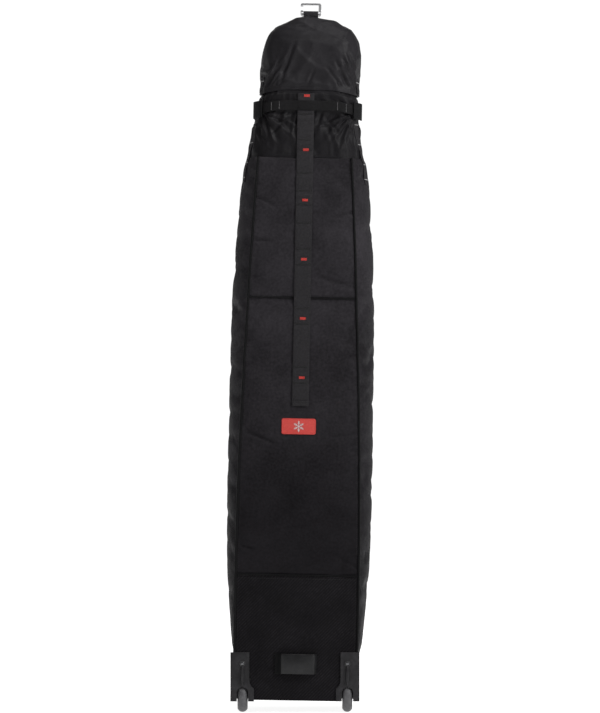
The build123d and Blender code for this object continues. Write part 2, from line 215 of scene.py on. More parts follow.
def relaxCloth(sheet, held, look):
    # Lets the cloth be a little larger than its seams, so that it puckers between them
    start = np.array([v.co[:] for v in sheet.data.vertices])
    group = sheet.vertex_groups.new(name="seams")
    for vertex in sheet.data.vertices:
        group.add([vertex.index], held(bagCoords(vertex.co)), "REPLACE")
    cloth = sheet.modifiers.new("cloth", "CLOTH")
    cloth.settings.quality = clothLook["quality"]
    cloth.settings.mass = clothLook["mass"]
    cloth.settings.tension_stiffness = clothLook["stretch"]
    cloth.settings.compression_stiffness = clothLook["stretch"]
    cloth.settings.shear_stiffness = clothLook["shear"]
    cloth.settings.bending_stiffness = look.get("bend", clothLook["bend"])
    cloth.settings.tension_damping = clothLook["damping"]
    cloth.settings.shrink_min = -look["spare"]
    cloth.settings.use_pressure = True
    cloth.settings.uniform_pressure_force = look["pressure"]
    cloth.settings.effector_weights.gravity = 0
    cloth.settings.vertex_group_mass = "seams"
    frames = clothLook["frames"]
    cloth.point_cache.frame_start = 1
    cloth.point_cache.frame_end = frames
    for number in range(1, frames + 1):
        bpy.context.scene.frame_set(number)
    only(sheet)
    bpy.ops.object.modifier_apply(modifier=cloth.name)
    bpy.context.scene.frame_set(1)
    end = np.array([v.co[:] for v in sheet.data.vertices])
    moved = end - start
    length = np.linalg.norm(moved, axis=1)
    most = look["most"] * mm
    keep = most * np.tanh(length / most) / np.maximum(length, 1e-9)
    for vertex, point in zip(sheet.data.vertices, start + moved * keep[:, None]):
        vertex.co = point
    sheet.vertex_groups.clear()
    print("cloth settled:", sheet.name, "moved up to", round(float(length.max() / mm), 1), "mm")


def thicken(sheet, thickness, offset=-1):
    # Gives back how many faces the outer side has; the inner side's faces follow them
    outer = len(sheet.data.polygons)
    solid = sheet.modifiers.new("thickness", "SOLIDIFY")
    solid.thickness = thickness * mm
    solid.offset = offset
    solid.use_even_offset = False
    applyAll(sheet)
    return outer


def subdivide(sheet, levels=1):
    surface = sheet.modifiers.new("surface", "SUBSURF")
    surface.levels = levels
    surface.render_levels = levels
    applyAll(sheet)


def cutBox(piece, low, high):
    # Takes a box out of a closed piece
    deselect()
    centre = [(a + b) / 2 for a, b in zip(low, high)]
    bpy.ops.mesh.primitive_cube_add(size=1, location=centre)
    cutter = bpy.context.active_object
    cutter.scale = [b - a for a, b in zip(low, high)]
    settle(cutter)
    cut = piece.modifiers.new("cut", "BOOLEAN")
    cut.operation = "DIFFERENCE"
    cut.solver = "EXACT"
    cut.object = cutter
    applyAll(piece)
    bpy.data.objects.remove(cutter)


def cutWells(piece):
    for wheel in (wheelLeft, wheelRight):
        low = (wheel.x - 0.018, -0.2, -0.02)
        high = (wheel.x + 0.018, -0.0255, 0.0835)
        cutBox(piece, low, high)


def sculpt(sheet, amount):
    # Moves each point along its normal by amount(x, y, h), in millimetres
    sheet.data.update()
    normals = [v.normal.copy() for v in sheet.data.vertices]
    for vertex, normal in zip(sheet.data.vertices, normals):
        vertex.co += normal * (amount(*bagCoords(vertex.co)) * mm)


def lineInside(shell, outer):
    # Gives the inner faces of a thickened sheet its second cloth
    for face in list(shell.data.polygons)[outer:2 * outer]:
        face.material_index = 1


def ridges(x, y, z, sharpness=1.0):
    # Folded noise from 0 to 1, with soft crests and narrow valleys
    return (1 - abs(noise.noise(Vector((x, y, z))))) ** sharpness


def ease(t):
    t = min(max(t, 0), 1)
    return t * t * (3 - 2 * t)


# Materials: every pattern runs on object coordinates, in metres


def startMaterial(name, look):
    material = bpy.data.materials.new(name)
    material.use_nodes = True
    shader = material.node_tree.nodes["Principled BSDF"]
    shader.inputs["Base Color"].default_value = (*look["colour"], 1)
    shader.inputs["Roughness"].default_value = look["roughness"]
    shader.inputs["Metallic"].default_value = look.get("metal", 0)
    shader.inputs["Specular IOR Level"].default_value = look.get("specular", 0.4)
    shader.inputs["Sheen Weight"].default_value = look.get("sheen", 0)
    shader.inputs["Sheen Roughness"].default_value = look.get("sheenRoughness", 0.4)
    shader.inputs["Coat Weight"].default_value = look.get("coat", 0)
    return material, material.node_tree, shader


def addNode(tree, kind, **values):
    node = tree.nodes.new(kind)
    for key, value in values.items():
        if key in node.inputs:
            node.inputs[key].default_value = value
        else:
            setattr(node, key, value)
    return node


def objectPoints(tree, rotation=(0, 0, 0), scale=(1, 1, 1)):
    coordinates = addNode(tree, "ShaderNodeTexCoord")
    mapping = addNode(tree, "ShaderNodeMapping")
    mapping.inputs["Rotation"].default_value = rotation
    mapping.inputs["Scale"].default_value = scale
    tree.links.new(coordinates.outputs["Object"], mapping.inputs["Vector"])
    return mapping.outputs["Vector"]


def uvPoints(tree):
    return addNode(tree, "ShaderNodeUVMap", uv_map="strap").outputs["UV"]


def bands(tree, points, direction, period, shift=0.0):
    # A sine wave along one direction, with its period in metres
    wave = addNode(tree, "ShaderNodeTexWave")
    wave.wave_type = "BANDS"
    wave.bands_direction = direction
    wave.inputs["Scale"].default_value = 0.314159 / period
    wave.inputs["Distortion"].default_value = 0
    wave.inputs["Phase Offset"].default_value = shift
    tree.links.new(points, wave.inputs["Vector"])
    return wave.outputs["Fac"]


def combine(tree, operation, a, b):
    node = addNode(tree, "ShaderNodeMath", operation=operation)
    for slot, value in ((0, a), (1, b)):
        if isinstance(value, (int, float)):
            node.inputs[slot].default_value = value
        else:
            tree.links.new(value, node.inputs[slot])
    return node.outputs["Value"]


def blended(tree, first, firstPart, second, secondPart):
    # The sum of two patterns, each scaled by its part
    firstScaled = combine(tree, "MULTIPLY", first, firstPart)
    return combine(tree, "ADD", firstScaled, combine(tree, "MULTIPLY", second, secondPart))


def cloudy(tree, points, scale, detail=3, roughness=0.5):
    cloud = addNode(tree, "ShaderNodeTexNoise")
    cloud.inputs["Scale"].default_value = scale
    cloud.inputs["Detail"].default_value = detail
    cloud.inputs["Roughness"].default_value = roughness
    tree.links.new(points, cloud.inputs["Vector"])
    return cloud.outputs["Fac"]


def mapped(tree, value, low, high, fromLow=0.3, fromHigh=0.7):
    node = addNode(tree, "ShaderNodeMapRange")
    node.inputs["From Min"].default_value = fromLow
    node.inputs["From Max"].default_value = fromHigh
    node.inputs["To Min"].default_value = low
    node.inputs["To Max"].default_value = high
    tree.links.new(value, node.inputs["Value"])
    return node.outputs["Result"]


def tint(tree, shader, value, dark, light):
    mix = addNode(tree, "ShaderNodeMix", data_type="RGBA")
    # Inputs 6 and 7 take the two colours, and output 2 gives their mix
    mix.inputs[6].default_value = (*dark, 1)
    mix.inputs[7].default_value = (*light, 1)
    tree.links.new(value, mix.inputs[0])
    tree.links.new(mix.outputs[2], shader.inputs["Base Color"])


def varyGloss(tree, shader, value, roughness, less, more):
    tree.links.new(mapped(tree, value, roughness - less, roughness + more), shader.inputs["Roughness"])


def relief(tree, shader, height, strength, distance):
    bump = addNode(tree, "ShaderNodeBump")
    bump.inputs["Strength"].default_value = strength
    bump.inputs["Distance"].default_value = distance
    tree.links.new(height, bump.inputs["Height"])
    tree.links.new(bump.outputs["Normal"], shader.inputs["Normal"])


def wovenMaterial(name, look):
    # Plain weave: warp across the bag, weft up it; worn patches change the sheen
    material, tree, shader = startMaterial(name, look)
    turned = objectPoints(tree, rotation=(0, 0, math.radians(45)))
    straight = objectPoints(tree)
    warp = bands(tree, turned, "X", look["thread"] * mm * 0.7071)
    weft = bands(tree, straight, "Z", look["thread"] * mm)
    weave = combine(tree, "MULTIPLY", warp, weft)
    patches = cloudy(tree, straight, look.get("patch", 9), 4, 0.6)
    grain = cloudy(tree, straight, 160, 2)
    shade = mapped(tree, blended(tree, patches, 0.7, grain, 0.3), 0.06, 0.94)
    if "paintedLowShade" in look:
        # painted shade: the cloth darkens towards the boot, where less light falls
        split = addNode(tree, "ShaderNodeSeparateXYZ")
        tree.links.new(straight, split.inputs["Vector"])
        shadeTowardsBoot = mapped(tree, split.outputs["Z"], look["paintedLowShade"], 1, 0.46, 0.80)
        shade = combine(tree, "MULTIPLY", shade, shadeTowardsBoot)
    tint(tree, shader, shade, look["colour"], look["worn"])
    varyGloss(tree, shader, patches, look["roughness"], 0.09, 0.07)
    creases = cloudy(tree, objectPoints(tree, scale=(1, 1, 2.1)), look.get("crease", 26), 6, 0.64)
    height = blended(tree, weave, look["weaveDepth"], creases, look["creaseDepth"])
    relief(tree, shader, height, 0.6, 0.0006)
    return material


def twillMaterial(name, look):
    # Heavy diagonal twill
    material, tree, shader = startMaterial(name, look)
    slanted = objectPoints(tree, rotation=(0, math.radians(look["slant"]), 0))
    straight = objectPoints(tree)
    diagonal = bands(tree, slanted, "X", look["pitch"] * mm)
    thread = bands(tree, straight, "Z", look["thread"] * mm)
    patches = cloudy(tree, straight, 11, 4, 0.6)
    broken = mapped(tree, cloudy(tree, straight, 210, 1), 0.35, 1)
    # painted shade: the colour is darker along the diagonal grooves of the relief
    lines = mapped(tree, combine(tree, "MULTIPLY", diagonal, broken), 0.25, 1, 0, 1)
    shade = combine(tree, "MULTIPLY", lines, mapped(tree, patches, 0.5, 1))
    tint(tree, shader, shade, look["colour"], look["worn"])
    height = blended(tree, diagonal, 0.7, thread, 0.3)
    relief(tree, shader, height, 0.55, 0.0007)
    return material


def webbingMaterial(name, look):
    # Ribs run along the strap; fine picks cross it
    material, tree, shader = startMaterial(name, look)
    points = uvPoints(tree)
    rib = bands(tree, points, "Y", look["rib"] * mm)
    pick = bands(tree, points, "X", look["pick"] * mm)
    fuzz = cloudy(tree, objectPoints(tree), 240, 2)
    height = blended(tree, rib, 0.8, pick, 0.35)
    # painted shade: the colour is darker between the ribs, where the relief is low
    shade = combine(tree, "MULTIPLY", mapped(tree, rib, 0.2, 1, 0, 1), mapped(tree, fuzz, 0.5, 1))
    tint(tree, shader, shade, look["colour"], look["worn"])
    relief(tree, shader, height, 0.7, 0.0005)
    return material


def threadMaterial(name, look):
    material, tree, shader = startMaterial(name, look)
    points = objectPoints(tree, rotation=(0, math.radians(35), 0))
    strand = bands(tree, points, "X", look["strand"] * mm)
    fuzz = cloudy(tree, objectPoints(tree), 300, 2)
    shade = combine(tree, "MULTIPLY", mapped(tree, strand, 0.35, 1, 0, 1), mapped(tree, fuzz, 0.6, 1))
    tint(tree, shader, shade, look["shadow"], look["colour"])
    relief(tree, shader, strand, 0.6, 0.0003)
    return material


def mouldedMaterial(name, look):
    # Moulded plastic or rubber: fine spark texture, scuffs that catch the light
    material, tree, shader = startMaterial(name, look)
    points = objectPoints(tree)
    grain = cloudy(tree, points, look.get("grain", 900), 2)
    scuffs = cloudy(tree, points, look.get("scuff", 45), 6, 0.7)
    tint(tree, shader, mapped(tree, scuffs, 0, 1, 0.42, 0.72), look["colour"], look["worn"])
    varyGloss(tree, shader, scuffs, look["roughness"], 0.08, 0.1)
    height = combine(tree, "ADD", grain, combine(tree, "MULTIPLY", scuffs, 0.5))
    relief(tree, shader, height, look.get("depth", 0.25), 0.0004)
    return material


def brushedMaterial(name, look):
    # Metal with fine drawn lines and faint handling marks
    material, tree, shader = startMaterial(name, look)
    lines = cloudy(tree, objectPoints(tree, scale=look["stretch"]), 900, 2)
    marks = cloudy(tree, objectPoints(tree), 60, 4, 0.6)
    tint(tree, shader, mapped(tree, marks, 0, 1), look["colour"], look["worn"])
    varyGloss(tree, shader, lines, look["roughness"], 0.07, 0.07)
    relief(tree, shader, lines, 0.15, 0.0002)
    return material


bodyCloth = wovenMaterial("bodyCloth", {
    "colour": (0.0030, 0.0027, 0.0032), "worn": (0.0345, 0.0316, 0.0360),
    "roughness": 0.54, "specular": 0.045,
    "thread": 1.5, "weaveDepth": 0.35, "creaseDepth": 4.4, "crease": 21, "patch": 5, "paintedLowShade": 0.42})
neckCloth = wovenMaterial("neckCloth", {
    "colour": (0.0048, 0.0044, 0.0051), "worn": (0.0118, 0.0109, 0.0124),
    "roughness": 0.5, "specular": 0.09,
    "thread": 1.3, "weaveDepth": 0.3, "creaseDepth": 1.6, "crease": 30})
hoodCloth = wovenMaterial("hoodCloth", {
    "colour": (0.0082, 0.0076, 0.0087), "worn": (0.0182, 0.0169, 0.0192),
    "roughness": 0.48, "specular": 0.11,
    "thread": 1.3, "weaveDepth": 0.3, "creaseDepth": 1.8, "crease": 26})
liningCloth = wovenMaterial("liningCloth", {
    "colour": (0.12, 0.12, 0.128), "worn": (0.17, 0.17, 0.18), "roughness": 0.6, "sheen": 0.1,
    "thread": 1.1, "weaveDepth": 0.3, "creaseDepth": 0.8})
bootCloth = twillMaterial("bootCloth", {
    "colour": (0.0022, 0.0020, 0.0023), "worn": (0.0190, 0.0174, 0.0198),
    "roughness": 0.7, "specular": 0.05,
    "slant": -45, "pitch": 5.6, "thread": 1.6})
strapCloth = webbingMaterial("strapCloth", {
    "colour": (0.0085, 0.0079, 0.0088), "worn": (0.0325, 0.0304, 0.0334), "roughness": 0.6, "specular": 0.1,
    "rib": 1.9, "pick": 1.2})
darkStrapCloth = webbingMaterial("darkStrapCloth", {
    "colour": (0.0035, 0.0034, 0.0036), "worn": (0.0125, 0.012, 0.0128), "roughness": 0.6, "specular": 0.08,
    "rib": 1.9, "pick": 1.2})
pipingCloth = wovenMaterial("pipingCloth", {
    "colour": (0.002, 0.002, 0.0022), "worn": (0.005, 0.005, 0.0055), "roughness": 0.6, "specular": 0.1,
    "thread": 0.9, "weaveDepth": 0.4, "creaseDepth": 0.4})
zipCloth = wovenMaterial("zipCloth", {
    "colour": (0.004, 0.004, 0.0043), "worn": (0.010, 0.010, 0.0107), "roughness": 0.7, "specular": 0.08,
    "thread": 0.8, "weaveDepth": 0.6, "creaseDepth": 0.2})
redThread = threadMaterial("redThread", {
    "colour": (0.66, 0.045, 0.032), "shadow": (0.34, 0.015, 0.012),
    "roughness": 0.5, "sheen": 0.2, "strand": 0.9})
paleThread = threadMaterial("paleThread", {
    "colour": (0.36, 0.35, 0.36), "shadow": (0.2, 0.2, 0.2), "roughness": 0.5, "sheen": 0.2, "strand": 0.7})
greyThread = threadMaterial("greyThread", {
    "colour": (0.13, 0.125, 0.13), "shadow": (0.05, 0.05, 0.05),
    "roughness": 0.5, "specular": 0.2, "strand": 0.7})
whiteThread = threadMaterial("whiteThread", {
    "colour": (0.72, 0.72, 0.72), "shadow": (0.4, 0.4, 0.4), "roughness": 0.5, "sheen": 0.2, "strand": 0.7})
blackThread = threadMaterial("blackThread", {
    "colour": (0.012, 0.012, 0.012), "shadow": (0.003, 0.003, 0.003),
    "roughness": 0.5, "specular": 0.25, "strand": 0.7})
housingPlastic = mouldedMaterial("housingPlastic", {
    "colour": (0.0145, 0.0140, 0.0152), "worn": (0.031, 0.030, 0.0325),
    "roughness": 0.46, "specular": 0.17})
bucklePlastic = mouldedMaterial("bucklePlastic", {
    "colour": (0.010, 0.010, 0.011), "worn": (0.022, 0.022, 0.023), "roughness": 0.36, "specular": 0.5})
gripRubber = mouldedMaterial("gripRubber", {
    "colour": (0.009, 0.009, 0.0097), "worn": (0.018, 0.018, 0.019),
    "roughness": 0.36, "specular": 0.22, "grain": 420})
wheelRubber = mouldedMaterial("wheelRubber", {
    "colour": (0.070, 0.069, 0.073), "worn": (0.122, 0.121, 0.126),
    "roughness": 0.5, "scuff": 110, "depth": 0.35})
corePlastic = mouldedMaterial("corePlastic", {
    "colour": (0.03, 0.03, 0.033), "worn": (0.06, 0.06, 0.063), "roughness": 0.5})
sheetPlastic = mouldedMaterial("sheetPlastic", {
    "colour": (0.05, 0.05, 0.055), "worn": (0.08, 0.08, 0.085), "roughness": 0.55})
hookMetal = brushedMaterial("hookMetal", {
    "colour": (0.50, 0.50, 0.51), "worn": (0.66, 0.66, 0.67),
    "roughness": 0.3, "metal": 1, "stretch": (0.15, 1, 1)})
steelMetal = brushedMaterial("steelMetal", {
    "colour": (0.06, 0.06, 0.064), "worn": (0.12, 0.12, 0.126),
    "roughness": 0.3, "metal": 1, "stretch": (1, 1, 0.2)})
zipMetal = brushedMaterial("zipMetal", {
    "colour": (0.02, 0.02, 0.022), "worn": (0.05, 0.05, 0.052),
    "roughness": 0.34, "metal": 0.6, "stretch": (1, 1, 0.3)})
print("materials made")


# Camera, floor and light

stageLook = {
    "distance": 9.0, "aimX": 1.2 * mm, "aimZ": 0.8556, "frameHeight": 1.7112,
    "floorGrey": 0.8, "glow": 0.9, "bounce": 0.32, "sky": 0.22, "key": 112, "fill": 8, "top": 27, "back": 16,
}


def areaLight(name, spot, aim, size, power):
    light = bpy.data.lights.new(name, "AREA")
    light.shape = "RECTANGLE"
    light.size, light.size_y = size
    light.energy = power
    lamp = bpy.data.objects.new(name, light)
    bpy.context.scene.collection.objects.link(lamp)
    lamp.location = spot
    lamp.rotation_euler = (Vector(aim) - Vector(spot)).to_track_quat("-Z", "Y").to_euler()


def makeStage():
    camera = bpy.data.cameras.new("camera")
    eye = bpy.data.objects.new("camera", camera)
    bpy.context.scene.collection.objects.link(eye)
    faceY = bagShape["faceY"] * mm
    eye.location = (stageLook["aimX"], faceY - stageLook["distance"], stageLook["aimZ"])
    eye.rotation_euler = (math.radians(90), 0, 0)
    camera.sensor_width = 36
    camera.lens = camera.sensor_width * stageLook["distance"] / stageLook["frameHeight"]
    camera.clip_end = 100
    bpy.context.scene.camera = eye

    # A pale floor that reaches the horizon
    deselect()
    bpy.ops.mesh.primitive_plane_add(size=160, location=(0, 0, 0))
    floor = bpy.context.active_object
    floor.name = "floor"
    look = {"colour": [stageLook["floorGrey"]] * 3, "roughness": 0.8, "specular": 0.1}
    paint, tree, shader = startMaterial("floorPaint", look)
    shader.inputs["Emission Color"].default_value = (1, 1, 1, 1)
    # the floor glows for the eye and in reflections, and throws less light on the cloth
    paths = addNode(tree, "ShaderNodeLightPath")
    seen = combine(tree, "ADD", paths.outputs["Is Camera Ray"], paths.outputs["Is Glossy Ray"])
    glow = mapped(tree, seen, stageLook["bounce"], stageLook["glow"], 0, 1)
    tree.links.new(glow, shader.inputs["Emission Strength"])
    floor.data.materials.append(paint)

    world = bpy.data.worlds.new("studio")
    world.use_nodes = True
    # the sky is white behind the bag and dimmer as a light
    sky = world.node_tree
    rays = addNode(sky, "ShaderNodeLightPath")
    sky.nodes["Background"].inputs["Color"].default_value = (1, 1, 1, 1)
    seen = mapped(sky, rays.outputs["Is Camera Ray"], stageLook["sky"], 1.05, 0, 1)
    sky.links.new(seen, sky.nodes["Background"].inputs["Strength"])
    bpy.context.scene.world = world
    areaLight("key", (2.6, -2.1, 2.9), (0, 0, 1.15), (0.9, 1.5), stageLook["key"])
    areaLight("fill", (-2.8, -2.6, 1.2), (0, 0, 0.8), (1.4, 2.6), stageLook["fill"])
    areaLight("top", (0.3, -0.6, 3.6), (0, 0, 1.2), (1.8, 1.2), stageLook["top"])
    areaLight("back", (-0.3, 3.8, 2.4), (0, 0.1, 0.9), (1.6, 2.2), stageLook["back"])
    bpy.context.scene.view_settings.view_transform = "Standard"


makeStage()
print("stage set")


# Wheel face: three skins over a padded back

faceLook = {
    "cell": 8, "crown": 3.2, "skin": 2.4, "spare": 0.016, "pressure": 1.0, "most": 4.2, "dip": 2.0,
    "dipReach": 2.8,
}


def freeCloth(x, h):
    # 0 where the boot panel is clamped under the housings and at the floor, 1 where it is free
    return ease((h - 6) / 30) * max(ease((h - 128) / 30), ease((106 - abs(x)) / 22))


def faceSheet(name, bottom, top):
    rows = int((top - bottom) / faceLook["cell"])
    columns = int(2 * halfWidth("face", bottom) / faceLook["cell"])
    def shape(u, v):
        h = bottom + v * (top - bottom)
        side = 2 * u - 1
        swell = (1 - side ** 2) * faceLook["crown"] * min(1, 6 * v * (1 - v) + 0.25)
        # soft dents where the bag's contents stop pushing
        dent = 2.2 * (noise.noise(Vector((side * 1.3, h / 150, 4))) - 0.1)
        edge = 1 - abs(side) ** 6
        free = freeCloth(side * halfWidth("face", h), h)
        depth = (dent * edge * min(1, 9 * v * (1 - v)) - swell) * free
        return place(side * halfWidth("face", h), bagShape["faceY"] + depth, h)
    return gridSheet(name, rows, columns, shape)


def creased(x, y, h, lines):
    # Sharp valleys along lines of (x, h, x, h, depth, width), with the cloth puffed up beside them
    total = 0
    for startX, startH, endX, endH, depth, width in lines:
        line = Vector((endX - startX, endH - startH))
        spot = Vector((x - startX, h - startH))
        t = spot.dot(line) / line.length_squared
        away = abs(line.x * spot.y - line.y * spot.x) / line.length
        fade = ease(t / 0.25 + 0.2) * ease((1 - t) / 0.35 + 0.1)
        puffed = 0.45 * math.exp(-(away / (2.6 * width)) ** 2)
        total += depth * fade * (puffed - math.exp(-(away / width) ** 2))
    return total * ease(-y / 30)


faceCreases = [
    (-134, 642, -44, 606, 8, 5), (140, 640, 38, 628, 5.5, 5), (142, 318, 74, 356, 5, 4.5),
    (142, 346, 104, 340, 3.5, 4), (-140, 366, -98, 356, 7, 4.5), (-126, 1101, -66, 1096, 5.5, 4.5),
    (124, 990, 22, 1016, 6.5, 5), (-128, 845, -62, 850, 5, 5), (134, 832, 56, 796, 5.5, 5),
    (120, 1170, 58, 1154, 5.5, 4.5), (-122, 1206, -60, 1178, 5.5, 4.5), (-130, 1010, -74, 1024, 5, 4.5),
]


def makeFace(name, bottom, top, material, node):
    sheet = faceSheet(name, bottom, top)
    pointOutwards(sheet, Vector((0, -1, 0)))
    def held(p):
        x, y, h = p
        nearSide = halfWidth("face", h) - abs(x) < 3
        return 1.0 if nearSide or h < bottom + 3 or h > top - 3 else 1 - freeCloth(x, h)
    relaxCloth(sheet, held, faceLook)
    subdivide(sheet)
    def seamDip(x, y, h):
        # the cloth turns in at its cross seams
        if h < 20:
            return 0
        reach = faceLook["dipReach"]
        pressed = math.exp(-((h - bottom) / reach) ** 2) + math.exp(-((top - h) / reach) ** 2)
        return -faceLook["dip"] * pressed
    sculpt(sheet, seamDip)
    sculpt(sheet, lambda x, y, h: creased(x, y, h, faceCreases) * min(1, (h - bottom) / 12, (top - h) / 12))
    thicken(sheet, faceLook["skin"])
    if bottom == 0:
        cutWells(sheet)
    smooth(sheet, 60)
    finishPiece(sheet, name, "bag", material, [node])
    return sheet


bootTop, seam, faceTop = bagShape["bootTop"], bagShape["seam"], bagShape["top"]
makeFace("bootPanel", 0, bootTop - 0.5, bootCloth, "boot_panel")
makeFace("lowerPanel", bootTop, seam - 0.5, bodyCloth, "back_panel_lower")
makeFace("upperPanel", seam, faceTop, bodyCloth, "back_panel_upper")
print("wheel face made")

paddingLook = {"front": -96.4, "back": -86.2, "inset": 2.5, "channel": 1.6, "quilt": 215}


def makePadding():
    # Foam behind the skins, quilted to its lining by cross seams
    low, high = 5, bagShape["top"] - 1
    def shape(u, v):
        h = low + v * (high - low)
        side = 2 * u - 1
        seam = abs(((h - low) / paddingLook["quilt"]) % 1 - 0.5) * 2
        dip = paddingLook["channel"] * math.exp(-((1 - seam) * 14) ** 2)
        swell = 1.5 * (1 - side ** 4)
        x = side * (halfWidth("face", h) - paddingLook["inset"])
        return place(x, paddingLook["back"] + swell - dip, h)
    pad = gridSheet("backPadding", 240, 24, shape)
    pointOutwards(pad, Vector((0, 1, 0)))
    thicken(pad, paddingLook["back"] - paddingLook["front"])
    cutWells(pad)
    smooth(pad, 50)
    nodes = ["back_foam", "back_lining", "back_stiffener"]
    finishPiece(pad, "backPadding", "bag", liningCloth, nodes)


makePadding()


# Gussets: they bulge between the wheel face and the lid's rim

gussetLook = {
    "cell": 8, "wall": 7, "spare": 0.035, "pressure": 1.6, "most": 6.0, "bend": 0.25, "pucker": 7.0,
    "fuller": (-1.5, 3),
}


def gussetPoint(direction, t, h):
    # t runs from the piping, 0, to the rim, 1
    start = Vector((halfWidth("face", h), bagShape["faceY"] + 1.5, 0))
    end = Vector((halfWidth("rim", h) - 0.5, bagShape["rimY"] - 1, 0))
    bulge = Vector((halfWidth("side", h) + gussetLook["fuller"][0 if direction < 0 else 1], 4, 0))
    control = bulge * 2 - (start + end) / 2
    p = start * (1 - t) ** 2 + control * (2 * t * (1 - t)) + end * t * t
    return place(direction * p.x, p.y, h)


def makeGusset(name, direction, node):
    top = bagShape["top"]
    def shape(u, v):
        return gussetPoint(direction, u, 0.5 + v * (top - 0.5))
    sheet = gridSheet(name, int(top / gussetLook["cell"]), 26, shape)
    pointOutwards(sheet, Vector((direction, 0, 0)))
    def puckers(x, y, h):
        # short slanting puckers that start at the piping and at the rim
        fromFace = math.exp(-(y - bagShape["faceY"]) / 38)
        fromRim = math.exp(-(bagShape["rimY"] - y) / 30)
        slant = ridges(direction * 3 + y / 240, (h + 0.55 * y) / 24, 7 + y / 400, 4) - 0.55
        calm = min(1, h / 150) * min(1, (top - h) / 40)
        return gussetLook["pucker"] * (fromFace + 0.7 * fromRim) * slant * calm * min(1, (y + 100) / 10)
    sculpt(sheet, puckers)
    def held(p):
        x, y, h = p
        edge = y < bagShape["faceY"] + 6 or y > bagShape["rimY"] - 6
        return 1.0 if edge or h < 110 or h > top - 5 else 0.0
    relaxCloth(sheet, held, gussetLook)
    subdivide(sheet)
    outer = thicken(sheet, gussetLook["wall"])
    smooth(sheet, 60)
    finishPiece(sheet, name, "bag", [bodyCloth, liningCloth], [node])
    lineInside(sheet, outer)


makeGusset("gussetLeft", -1, "gusset_left")
makeGusset("gussetRight", 1, "gusset_right")
print("gussets made")


# Helpers for straps, stitches and hard parts


def strap(name, path, across, width, thickness, rounding=0.5, columns=6):
    # A flat strap along a path; across is its width direction, or one direction for each point
    points = [Vector(p) for p in path]
    directions = list(across) if isinstance(across, (list, tuple)) else [across] * len(points)
    run = [0.0]
    for a, b in zip(points, points[1:]):
        run.append(run[-1] + (b - a).length)
    rows = len(points) - 1
    def shape(u, v):
        row = round(v * rows)
        return points[row] + directions[row] * ((u - 0.5) * width * mm)
    band = gridSheet(name, rows, columns, shape)
    for corner in band.data.uv_layers["strap"].data:
        u, v = corner.uv
        corner.uv = (run[round(v * rows)], u * width * mm)
    thicken(band, thickness, offset=0)
    edges = band.modifiers.new("edges", "BEVEL")
    edges.width = rounding * mm
    edges.segments = 2
    edges.limit_method = "ANGLE"
    edges.angle_limit = math.radians(50)
    applyAll(band)
    smooth(band, 50)
    return band


def smoothPath(points, steps=8):
    # A rounded path through points, as a spline that passes each of them
    points = [Vector(p) for p in points]
    ends = [points[0] * 2 - points[1], *points, points[-1] * 2 - points[-2]]
    path = []
    for i in range(1, len(ends) - 2):
        a, b, c, d = ends[i - 1:i + 3]
        for step in range(steps):
            t = step / steps
            square = (2 * a - 5 * b + 4 * c - d) * t ** 2
            cube = (3 * b - a - 3 * c + d) * t ** 3
            path.append(0.5 * (2 * b + (c - a) * t + square + cube))
    return path + [points[-1]]


def stitchTemplate():
    deselect()
    bpy.ops.mesh.primitive_uv_sphere_add(segments=6, ring_count=4, radius=0.5)
    ball = bpy.context.active_object
    ball.rotation_euler = (0, math.radians(90), 0)
    settle(ball)
    points = np.array([v.co[:] for v in ball.data.vertices])
    faces = [list(f.vertices) for f in ball.data.polygons]
    bpy.data.objects.remove(ball)
    return points, faces


stitchPoints, stitchFaces = stitchTemplate()


def sewStitches(name, stitches, body, material, nodes=()):
    # Each stitch is (middle, along, outwards, length, width) with its sizes in millimetres
    points, faces = [], []
    for middle, along, outwards, length, width in stitches:
        along = Vector(along).normalized()
        outwards = Vector(outwards).normalized()
        across = outwards.cross(along).normalized()
        turn = np.array([along[:], across[:], outwards[:]])
        local = stitchPoints * [length * mm, width * mm, width * 0.8 * mm]
        faces += [[i + len(points) * len(stitchPoints) for i in f] for f in stitchFaces]
        points.append(local @ turn + np.array(middle[:]))
    piece = meshPiece(name, np.concatenate(points).tolist(), faces)
    smooth(piece, 60)
    return finishPiece(piece, name, body, material, nodes)


def rowOfStitches(path, outwards, pitch=4.2, length=3.1, width=0.9):
    # Evenly spaced stitches along a path
    points = [Vector(p) for p in path]
    stitches = []
    carry = pitch / 2
    for a, b in zip(points, points[1:]):
        span = (b - a).length / mm
        while carry < span:
            stitches.append((a.lerp(b, carry / span), b - a, outwards, length, width))
            carry += pitch
        carry -= span
    return stitches


def bartack(middle, along, outwards, length=24, height=2.6, pitch=1.7):
    # A dense zigzag bar; along runs the length of the bar
    along = Vector(along).normalized()
    across = Vector(outwards).cross(along).normalized()
    count = max(3, round(length / pitch))
    stitches = []
    for i in range(count):
        offset = (i + 0.5) / count - 0.5
        slant = across + along * (0.35 if i % 2 else -0.35)
        spot = Vector(middle) + along * (offset * length * mm)
        stitches.append((spot, slant, outwards, height, pitch * 0.95))
    return stitches


def refine(node, name, body, material, bevel=0.8, angle=30, segments=2):
    # A copy of a hard part with its edges rounded over
    source = bpy.data.objects[node]
    piece = bpy.data.objects.new(name, source.data.copy())
    bpy.context.scene.collection.objects.link(piece)
    piece.matrix_world = source.matrix_world
    settle(piece)
    bpy.ops.object.mode_set(mode="EDIT")
    bpy.ops.mesh.select_all(action="SELECT")
    bpy.ops.mesh.remove_doubles(threshold=0.00002)
    bpy.ops.mesh.dissolve_limited(angle_limit=math.radians(1))
    bpy.ops.mesh.normals_make_consistent(inside=False)
    bpy.ops.object.mode_set(mode="OBJECT")
    rounding = piece.modifiers.new("rounding", "BEVEL")
    rounding.width = bevel * mm
    rounding.segments = segments
    rounding.limit_method = "ANGLE"
    rounding.angle_limit = math.radians(angle)
    applyAll(piece)
    smooth(piece, 40)
    return finishPiece(piece, name, body, material, [node])


out = Vector((0, -1, 0))
behind = Vector((0, 1, 0))


